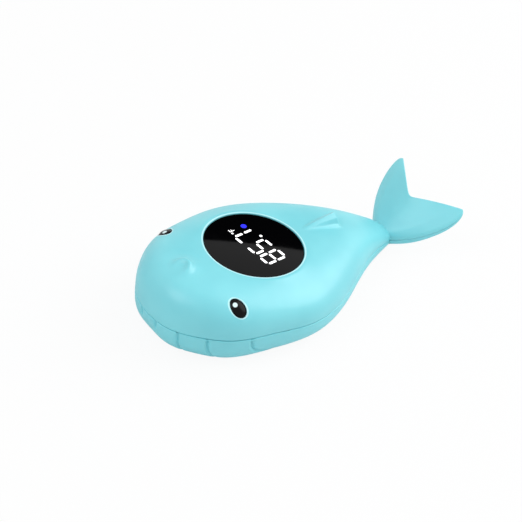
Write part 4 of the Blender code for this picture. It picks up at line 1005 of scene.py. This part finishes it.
def lit_film(name, outlines, slot_name):
    """Thin lit shapes on the face of the lens."""
    shape = bmesh.new()
    for outline in outlines:
        low = [shape.verts.new((x, y, 0.0)) for x, y in outline]
        high = [shape.verts.new((x, y, FIGURE_THICKNESS)) for x, y in outline]
        shape.faces.new(low[::-1])
        shape.faces.new(high)
        count = len(outline)
        for i in range(count):
            k = (i + 1) % count
            shape.faces.new((low[i], low[k], high[k], high[i]))
    bmesh.ops.recalc_face_normals(shape, faces=shape.faces)
    settle(show_shape(name, shape, digit_place()), slot_name)


def eyes():
    radii = (EYE_HALF_LENGTH, EYE_HALF_WIDTH, EYE_DEPTH)
    for name, place in eye_places():
        finish(ball("glossy_eye_" + name, radii, place), "eye_gloss", "eye_" + name)


def screw(name, place, length, head_height, node):
    """Self-tapping screw, point up, with a cross recess in its head."""
    r, h = SCREW_RADIUS, HEAD_RADIUS
    core = r * THREAD_CORE
    profile = [(0.0, length), (r * SCREW_TIP, length)]
    for i in range(int((length - SCREW_PLAIN) / THREAD_PITCH)):
        z = length - SCREW_POINT - i * THREAD_PITCH
        profile += [(core, z), (r, z - THREAD_PITCH / 2), (core, z - THREAD_PITCH * 0.95)]
    profile += [(r * SCREW_NECK, 0.0), (h - HEAD_EDGE, 0.0)]
    profile += arc((h - HEAD_EDGE, -HEAD_EDGE), HEAD_EDGE, 90.0, 0.0, 3)
    profile += arc((h - HEAD_ROUND, -head_height + HEAD_ROUND), HEAD_ROUND, 0.0, -90.0, 5)
    profile += [(0.0, -head_height)]
    piece = turned(name, profile, 40, place)
    low = (-h * CROSS_REACH, -CROSS_HALF_WIDTH, -head_height - OVERSHOOT)
    high = (h * CROSS_REACH, CROSS_HALF_WIDTH, -head_height + head_height * 0.5)
    for turn in (0.0, math.pi / 2):
        cut(piece, block("slot", low, high, 0.0, place @ Matrix.Rotation(turn, 4, "Z")))
    finish(piece, "steel", node)


def screws():
    for i, (x, distance, seat) in enumerate(boss_places()):
        screw(f"case_screw_{i + 1}", at(x, along(distance), seat - FIT_GAP),
              SCREW_LENGTH, HEAD_HEIGHT, f"shell_screw_{i + 1}")
    for name, distance in zip(("front", "rear"), DOOR_SCREW_PLACES):
        screw("bay_screw_" + name, at(0.0, along(distance), DOOR_HEAD_SEAT),
              DOOR_SCREW_LENGTH, DOOR_HEAD_HEIGHT, "door_screw_" + name)


def door():
    """Battery door with rounded edges and two screw wells."""
    panel = block("bay_door", (-DOOR_HALF_WIDTH, along(DOOR_START), DOOR_SUNK),
                  (DOOR_HALF_WIDTH, along(DOOR_END), DOOR_TOP), DOOR_CORNER)
    top = DOOR_HEAD_SEAT + FIT_GAP
    for distance in DOOR_SCREW_PLACES:
        cut(panel, upright(SCREW_RADIUS + FIT_GAP, -OVERSHOOT, DOOR_SEAT + OVERSHOOT,
                           0.0, distance, 32))
        cut(panel, upright(HEAD_RADIUS + FIT_GAP, -OVERSHOOT, top, 0.0, distance, 48))
    finish(panel, "shell_plastic", "battery_door")


def probe():
    """Thin steel cap of the sensor, closed and rounded below, with a flange inside."""
    r, wall, edge = PROBE_RADIUS, PROBE_WALL, PROBE_EDGE
    low, high = DOOR_SUNK, DOOR_SUNK + PROBE_HEIGHT
    flange = FLOOR + FIT_GAP
    profile = [(0.0, low)] + arc((r - edge, low + edge), edge, -90.0, 0.0, 10)
    profile += [(r, flange), (r + PROBE_FLANGE, flange), (r + PROBE_FLANGE, flange + wall)]
    profile += [(r, flange + wall), (r, high), (r - wall, high), (r - wall, low + 2 * wall)]
    profile += [(0.0, low + 2 * wall)]
    cap = turned("sensor_cap", profile, 64, at(0.0, along(PROBE_DISTANCE)))
    finish(cap, "steel", "probe_cap")


def pins():
    """The two pins that feel the water."""
    head, edge = PIN_HEAD_RADIUS, PIN_EDGE
    profile = [(0.0, 0.0)] + arc((head - edge, edge), edge, -90.0, 0.0, 5)
    profile += [(head, PIN_HEAD_HEIGHT), (PIN_RADIUS, PIN_HEAD_HEIGHT), (PIN_RADIUS, PIN_LENGTH)]
    profile += [(0.0, PIN_LENGTH)]
    for side, name in ((-1, "left"), (1, "right")):
        place = at(side * PIN_PLACE[0], along(PIN_PLACE[1]), DOOR_SUNK)
        finish(turned("water_pin_" + name, profile, 40, place), "steel", "contact_pin_" + name)


# Materials

def linear(red, green, blue):
    """Linear colour of a display colour given in 0 to 255."""
    def one(value):
        value /= 255
        return value / 12.92 if value <= 0.04045 else ((value + 0.055) / 1.055) ** 2.4
    return (one(red), one(green), one(blue), 1.0)


def add_node(tree, kind, values=(), **settings):
    """Node with its settings, whose inputs are linked to sockets or set to values."""
    made = tree.nodes.new(kind)
    for key, value in settings.items():
        setattr(made, key, value)
    for key, value in dict(values).items():
        if isinstance(value, bpy.types.NodeSocket):
            tree.links.new(value, made.inputs[key])
        else:
            made.inputs[key].default_value = value
    return made


class Look:
    """A Principled material and short ways to add nodes to it."""

    def __init__(self, name, colour, roughness, metallic=0.0, specular=0.5):
        self.material = bpy.data.materials.new(name)
        self.material.use_nodes = True
        self.tree = self.material.node_tree
        self.shader = self.tree.nodes["Principled BSDF"]
        self.shader.inputs["Base Color"].default_value = colour
        self.shader.inputs["Roughness"].default_value = roughness
        self.shader.inputs["Metallic"].default_value = metallic
        self.shader.inputs["Specular IOR Level"].default_value = specular
        self.coords = self.tree.nodes.new("ShaderNodeTexCoord").outputs["Object"]

    def node(self, kind, values=(), **settings):
        return add_node(self.tree, kind, values, **settings)

    def noise(self, scale, detail=3.0, rough=0.5, stretch=(1.0, 1.0, 1.0)):
        placed = self.node("ShaderNodeMapping", {"Vector": self.coords, "Scale": stretch})
        made = self.node("ShaderNodeTexNoise", {"Vector": placed.outputs["Vector"], "Scale": scale,
                                                "Detail": detail, "Roughness": rough})
        return made.outputs["Fac"]

    def ramp(self, source, low, high, out_low, out_high):
        made = self.node("ShaderNodeMapRange", {"Value": source, "From Min": low, "From Max": high,
                                                "To Min": out_low, "To Max": out_high})
        return made.outputs["Result"]

    def mix(self, factor, first, second):
        made = self.node("ShaderNodeMix", {0: factor, 6: first, 7: second}, data_type="RGBA")
        return made.outputs[2]

    def colour_from(self, socket):
        self.tree.links.new(socket, self.shader.inputs["Base Color"])

    def roughness_from(self, socket):
        self.tree.links.new(socket, self.shader.inputs["Roughness"])

    def vary_roughness(self, scale, low, high, detail=3.0):
        self.roughness_from(self.ramp(self.noise(scale, detail), 0.3, 0.7, low, high))

    def bump(self, socket, distance, strength=1.0):
        made = self.node("ShaderNodeBump", {"Height": socket, "Distance": distance,
                                            "Strength": strength})
        self.tree.links.new(made.outputs["Normal"], self.shader.inputs["Normal"])

    def reach_from(self, place, radii):
        """Distance from a placed oval's middle, as a share of its radii."""
        spot, turn, _ = place.decompose()
        placed = self.node("ShaderNodeMapping",
                           {"Vector": self.coords, "Location": spot,
                            "Rotation": turn.to_euler(), "Scale": (*radii, 1.0)},
                           vector_type="TEXTURE")
        flat = self.node("ShaderNodeVectorMath",
                         {0: placed.outputs["Vector"], 1: (1.0, 1.0, 0.0)}, operation="MULTIPLY")
        size = self.node("ShaderNodeVectorMath", {0: flat.outputs["Vector"]}, operation="LENGTH")
        return size.outputs["Value"]

    def band(self, value, low, high, soft):
        """1 between two values, with soft edges."""
        start = self.ramp(value, low - soft, low + soft, 0.0, 1.0)
        stop = self.ramp(value, high - soft, high + soft, 1.0, 0.0)
        return self.node("ShaderNodeMath", {0: start, 1: stop}, operation="MULTIPLY").outputs[0]


SHELL_COLOUR = linear(124, 213, 222)
SHELL_PAINTED_HIGHLIGHT = linear(186, 238, 243)
# Paler tone painted on the shell as a highlight along the edges around the lens and the eyes
SHELL_DEEP = linear(117, 207, 217)


def shell_look(name, rim_highlights=()):
    """Satin moulded plastic: faint mottling, fine grain, and painted highlights as paler bands on
    thin edges where they are given.
    """
    look = Look(name, SHELL_COLOUR, 0.38, specular=0.75)
    cloud = look.noise(60.0, 2.0)
    colour = look.mix(look.ramp(cloud, 0.35, 0.65, 0.0, 1.0), SHELL_DEEP, SHELL_COLOUR)
    # Painted highlight: a pale band laid over the plastic's colour around each given opening
    for place, radii, low, high, soft in rim_highlights:
        rim = look.band(look.reach_from(place, radii), low, high, soft)
        colour = look.mix(rim, colour, SHELL_PAINTED_HIGHLIGHT)
    look.colour_from(colour)
    look.vary_roughness(900.0, 0.34, 0.42, 2.0)
    look.bump(look.noise(2600.0, 2.0), 0.00002, 0.35)
    look.shader.inputs["Subsurface Weight"].default_value = 0.12
    look.shader.inputs["Subsurface Radius"].default_value = (0.4, 0.9, 1.0)
    look.shader.inputs["Subsurface Scale"].default_value = 0.0012
    return look.material


def lens_look():
    """Polished black plastic with a faint haze."""
    look = Look("smoked_lens", linear(3, 3, 4), 0.05, specular=0.14)
    look.vary_roughness(180.0, 0.03, 0.07, 2.0)
    return look.material


def lit_look(name, colour, strength):
    """Lit colour with slightly dimmer spots."""
    look = Look(name, colour, 0.4, specular=0.2)
    cells = look.ramp(look.noise(1500.0, 2.0), 0.3, 0.7, 0.0, 1.0)
    shaded = look.mix(cells, [c * 0.93 for c in colour[:3]] + [1.0], colour)
    look.tree.links.new(shaded, look.shader.inputs["Emission Color"])
    look.shader.inputs["Emission Strength"].default_value = strength
    look.colour_from(shaded)
    return look.material


def eye_look(name, place):
    """Glossy black with one white spot for a glint."""
    look = Look(name, linear(14, 11, 12), 0.16, specular=0.1)
    side = math.copysign(1.0, place.translation.x)
    spot = place @ at(GLINT_SHIFT[0], side * GLINT_SHIFT[1])
    reach = look.reach_from(spot, (GLINT_RADIUS, GLINT_RADIUS))
    white = look.ramp(reach, 0.92, 1.08, 1.0, 0.0)
    look.colour_from(look.mix(white, linear(14, 11, 12), linear(226, 245, 246)))
    look.vary_roughness(400.0, 0.14, 0.2)
    return look.material


def steel_look():
    """Bright steel with faint streaks."""
    look = Look("bright_steel", linear(200, 203, 205), 0.25, metallic=1.0)
    streak = look.noise(700.0, 4.0, 0.6, (1.0, 8.0, 1.0))
    look.roughness_from(look.ramp(streak, 0.3, 0.7, 0.18, 0.36))
    look.colour_from(look.mix(look.ramp(streak, 0.2, 0.8, 0.0, 1.0), linear(178, 182, 186),
                              linear(212, 214, 216)))
    look.bump(streak, 0.00001, 0.4)
    return look.material


def plain_look(name, first, second, roughness, scale):
    """Two near tones mixed by a noise, with a fine grain."""
    first, second = linear(*first), linear(*second)
    look = Look(name, first, roughness)
    tone = look.noise(scale)
    look.colour_from(look.mix(look.ramp(tone, 0.35, 0.65, 0.0, 1.0), first, second))
    look.roughness_from(look.ramp(tone, 0.2, 0.8, roughness * 0.85, min(roughness * 1.15, 1.0)))
    look.bump(look.noise(scale * 6), 0.00002, 0.5)
    return look.material


def board_look():
    """Green solder mask with paler tracks and tinned pads."""
    look = Look("solder_mask", linear(12, 92, 48), 0.35)
    tracks = look.node("ShaderNodeTexBrick", {"Vector": look.coords, "Scale": 260.0,
                                              "Color1": linear(10, 84, 44),
                                              "Color2": linear(14, 98, 52),
                                              "Mortar": linear(38, 134, 78),
                                              "Mortar Size": 0.03})
    pads = look.node("ShaderNodeTexVoronoi", {"Vector": look.coords, "Scale": 320.0})
    dots = look.ramp(pads.outputs["Distance"], 0.16, 0.2, 1.0, 0.0)
    look.colour_from(look.mix(dots, tracks.outputs["Color"], linear(196, 190, 168)))
    look.vary_roughness(500.0, 0.28, 0.42)
    look.bump(tracks.outputs["Fac"], 0.00003, 0.5)
    return look.material


def sleeve_look():
    """Foil sleeve of a cell: a green body and a brassy band near the pole."""
    look = Look("foil_sleeve", linear(24, 104, 84), 0.3, metallic=0.6)
    apart = look.node("ShaderNodeSeparateXYZ", {"Vector": look.coords})
    band = look.band(apart.outputs["Y"], along(BAY_START + 4 * MM), along(BAY_START + 14 * MM), 2e-5)
    look.colour_from(look.mix(band, linear(24, 104, 84), linear(196, 160, 92)))
    look.vary_roughness(800.0, 0.22, 0.38)
    return look.material


def painted_rim_highlights():
    """Painted highlights on the edges around the lens and the eyes: place, radii, start, end and
    softness.
    """
    rim_highlights = [(display_place(), (LENS_RADIUS, LENS_RADIUS), 1.014, 1.042, 0.006)]
    rim_share = (EYE_HALF_WIDTH + FIT_GAP + EYE_RIM_HIGHLIGHT) / EYE_HALF_WIDTH
    for _, place in eye_places():
        rim_highlights.append((place, (EYE_HALF_LENGTH, EYE_HALF_WIDTH), 0.98, rim_share, 0.04))
    return rim_highlights


# Slot: name, two colours, roughness and scale of the noise
PLAIN_LOOKS = {
    "silicone": ("pale_silicone", (190, 196, 198), (178, 186, 189), 0.6, 300.0),
    "black_moulding": ("black_epoxy", (22, 22, 23), (34, 34, 35), 0.5, 500.0),
    "lit_digits": ("white_diffuser", (232, 233, 230), (220, 222, 219), 0.4, 400.0),
    "blue_lamp": ("blue_lamp_body", (44, 96, 230), (36, 84, 214), 0.3, 400.0),
    "red_lead": ("red_insulation", (196, 34, 30), (176, 28, 26), 0.5, 600.0),
    "black_lead": ("black_insulation", (24, 24, 25), (38, 38, 39), 0.5, 600.0),
}


def dress():
    """Gives each piece and each carried-over solid its material."""
    looks = {
        "upper_shell_skin": shell_look("satin_back", painted_rim_highlights()),
        "lower_shell_skin": shell_look("satin_belly"),
        "bay_door": shell_look("satin_door"),
        "lens_disc": lens_look(),
        "lit_figures": lit_look("white_light", linear(252, 252, 252), 1.0),
        "lit_indicator": lit_look("blue_light", linear(34, 38, 238), 0.85),
    }
    for name, place in eye_places():
        looks["glossy_eye_" + name] = eye_look("eye_gloss_" + name, place)
    slots = {slot: plain_look(*values) for slot, values in PLAIN_LOOKS.items()}
    slots["steel"] = steel_look()
    slots["circuit_board"] = board_look()
    slots["cell_sleeve"] = sleeve_look()
    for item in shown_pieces():
        name = item.get("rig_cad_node")
        if name is None:
            material = looks.get(item.name, slots.get(item.get("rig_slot")))
        else:
            material = slots[NODE_SLOTS[name]]
        item.data.materials.clear()
        item.data.materials.append(material)


# Studio

def camera():
    """The photograph's view: place, direction and roll."""
    a, e, r = CAMERA_AZIMUTH, CAMERA_ELEVATION, CAMERA_ROLL
    right = Vector((math.cos(a), math.sin(a), 0.0))
    up = Vector((-math.sin(a) * math.sin(e), math.cos(a) * math.sin(e), math.cos(e)))
    back = Vector((math.sin(a) * math.cos(e), -math.cos(a) * math.cos(e), math.sin(e)))
    turned_right = right * math.cos(r) + up * math.sin(r)
    turned_up = up * math.cos(r) - right * math.sin(r)
    data = bpy.data.cameras.new("view")
    data.sensor_width = CAMERA_SENSOR
    data.lens = CAMERA_LENS
    data.clip_start = 0.01
    data.clip_end = 20.0
    item = bpy.data.objects.new("view", data)
    rotation = Matrix((turned_right, turned_up, back)).transposed()
    item.matrix_world = Matrix.Translation(CAMERA_PLACE) @ rotation.to_4x4()
    bpy.context.scene.collection.objects.link(item)
    bpy.context.scene.camera = item
    return turned_right, turned_up, back


def lamp(name, axes, direction, distance, size, power, colour=(1.0, 1.0, 1.0)):
    """Round lamp that faces the body, its way given as shares right, up and to the camera."""
    right, up, back = axes
    way = (right * direction[0] + up * direction[1] + back * direction[2]).normalized()
    data = bpy.data.lights.new(name, "AREA")
    data.shape = "DISK"
    data.size = size
    data.energy = power
    data.color = colour
    item = bpy.data.objects.new(name, data)
    target = Vector((0.0, 0.0, 15.0 * MM))
    item.location = target + way * distance
    item.rotation_mode = "QUATERNION"
    item.rotation_quaternion = way.to_track_quat("Z", "Y")
    bpy.context.scene.collection.objects.link(item)


def background():
    """White for the camera and in reflections, and a plain soft light elsewhere."""
    world = bpy.data.worlds.new("studio")
    bpy.context.scene.world = world
    world.use_nodes = True
    tree = world.node_tree
    shader = tree.nodes["Background"]
    path = tree.nodes.new("ShaderNodeLightPath")
    seen = path.outputs["Is Camera Ray"]
    for ray in ("Is Transmission Ray", "Is Glossy Ray"):
        seen = add_node(tree, "ShaderNodeMath", {0: seen, 1: path.outputs[ray]},
                        operation="MAXIMUM").outputs[0]
    strength = add_node(tree, "ShaderNodeMapRange",
                        {"Value": seen, "To Min": WORLD_LIGHT, "To Max": 1.0})
    tree.links.new(strength.outputs["Result"], shader.inputs["Strength"])
    shader.inputs["Color"].default_value = (1.0, 1.0, 1.0, 1.0)


def dark_card():
    """Dark card that only reflections see, whose top edge draws the line across the lens."""
    left, right = Vector(CARD_EDGE[0]), Vector(CARD_EDGE[1])
    run = (right - left) * CARD_STRETCH
    drop = Vector((0.0, 0.0, CARD_DROP))
    corners = [left - run, right + run, right + run - drop, left - run - drop]
    mesh = bpy.data.meshes.new("dark_card")
    mesh.from_pydata([tuple(corner) for corner in corners], [], [(0, 1, 2, 3)])
    card = show("dark_card", mesh)
    material = bpy.data.materials.new("card_black")
    material.use_nodes = True
    shader = material.node_tree.nodes["Principled BSDF"]
    shader.inputs["Base Color"].default_value = (0.0, 0.0, 0.0, 1.0)
    shader.inputs["Specular IOR Level"].default_value = 0.0
    mesh.materials.append(material)
    card.visible_camera = False
    card.visible_diffuse = False
    card.visible_shadow = False
    card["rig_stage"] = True


def studio_floor():
    """Plain white floor: shown near white, and it keeps a soft shadow."""
    floor = block("studio_floor", (-FLOOR_HALF, -FLOOR_HALF, -2.0 * MM),
                  (FLOOR_HALF, FLOOR_HALF, -0.05 * MM))
    material = bpy.data.materials.new("floor_white")
    material.use_nodes = True
    tree = material.node_tree
    tree.nodes.remove(tree.nodes["Principled BSDF"])
    diffuse = add_node(tree, "ShaderNodeBsdfDiffuse", {"Color": FLOOR_COLOUR})
    glow = add_node(tree, "ShaderNodeEmission", {"Color": (1.0, 1.0, 1.0, 1.0), "Strength": 1.0})
    path = tree.nodes.new("ShaderNodeLightPath")
    share = add_node(tree, "ShaderNodeMath", {0: path.outputs["Is Camera Ray"], 1: FLOOR_GLOW},
                     operation="MULTIPLY")
    mixer = add_node(tree, "ShaderNodeMixShader", {"Fac": share.outputs[0], 1: diffuse.outputs[0],
                                                   2: glow.outputs[0]})
    tree.links.new(mixer.outputs[0], tree.nodes["Material Output"].inputs["Surface"])
    floor.data.materials.append(material)
    floor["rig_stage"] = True


bpy.context.scene.view_settings.view_transform = "Standard"
NODE_SLOTS = {part["node"]: part["material_slot"] for part in frame["record"]["subparts"]}
axes = camera()
background()
studio_floor()
dark_card()
lamp("key", axes, direction=(0.80, 0.50, 0.26), distance=0.9, size=0.9, power=5.6)
lamp("fill", axes, direction=(-0.5, 0.35, 0.8), distance=1.2, size=0.9, power=4.3,
     colour=(0.86, 0.95, 1.0))
upper_shell()
lower_shell()
lens()
lit_film("lit_figures", figure_outlines(), "lit_digits")
lit_film("lit_indicator", [flat_disc(*INDICATOR_CENTRE, INDICATOR_RADIUS, 40)], "blue_lamp")
eyes()
screws()
door()
probe()
pins()
dress()
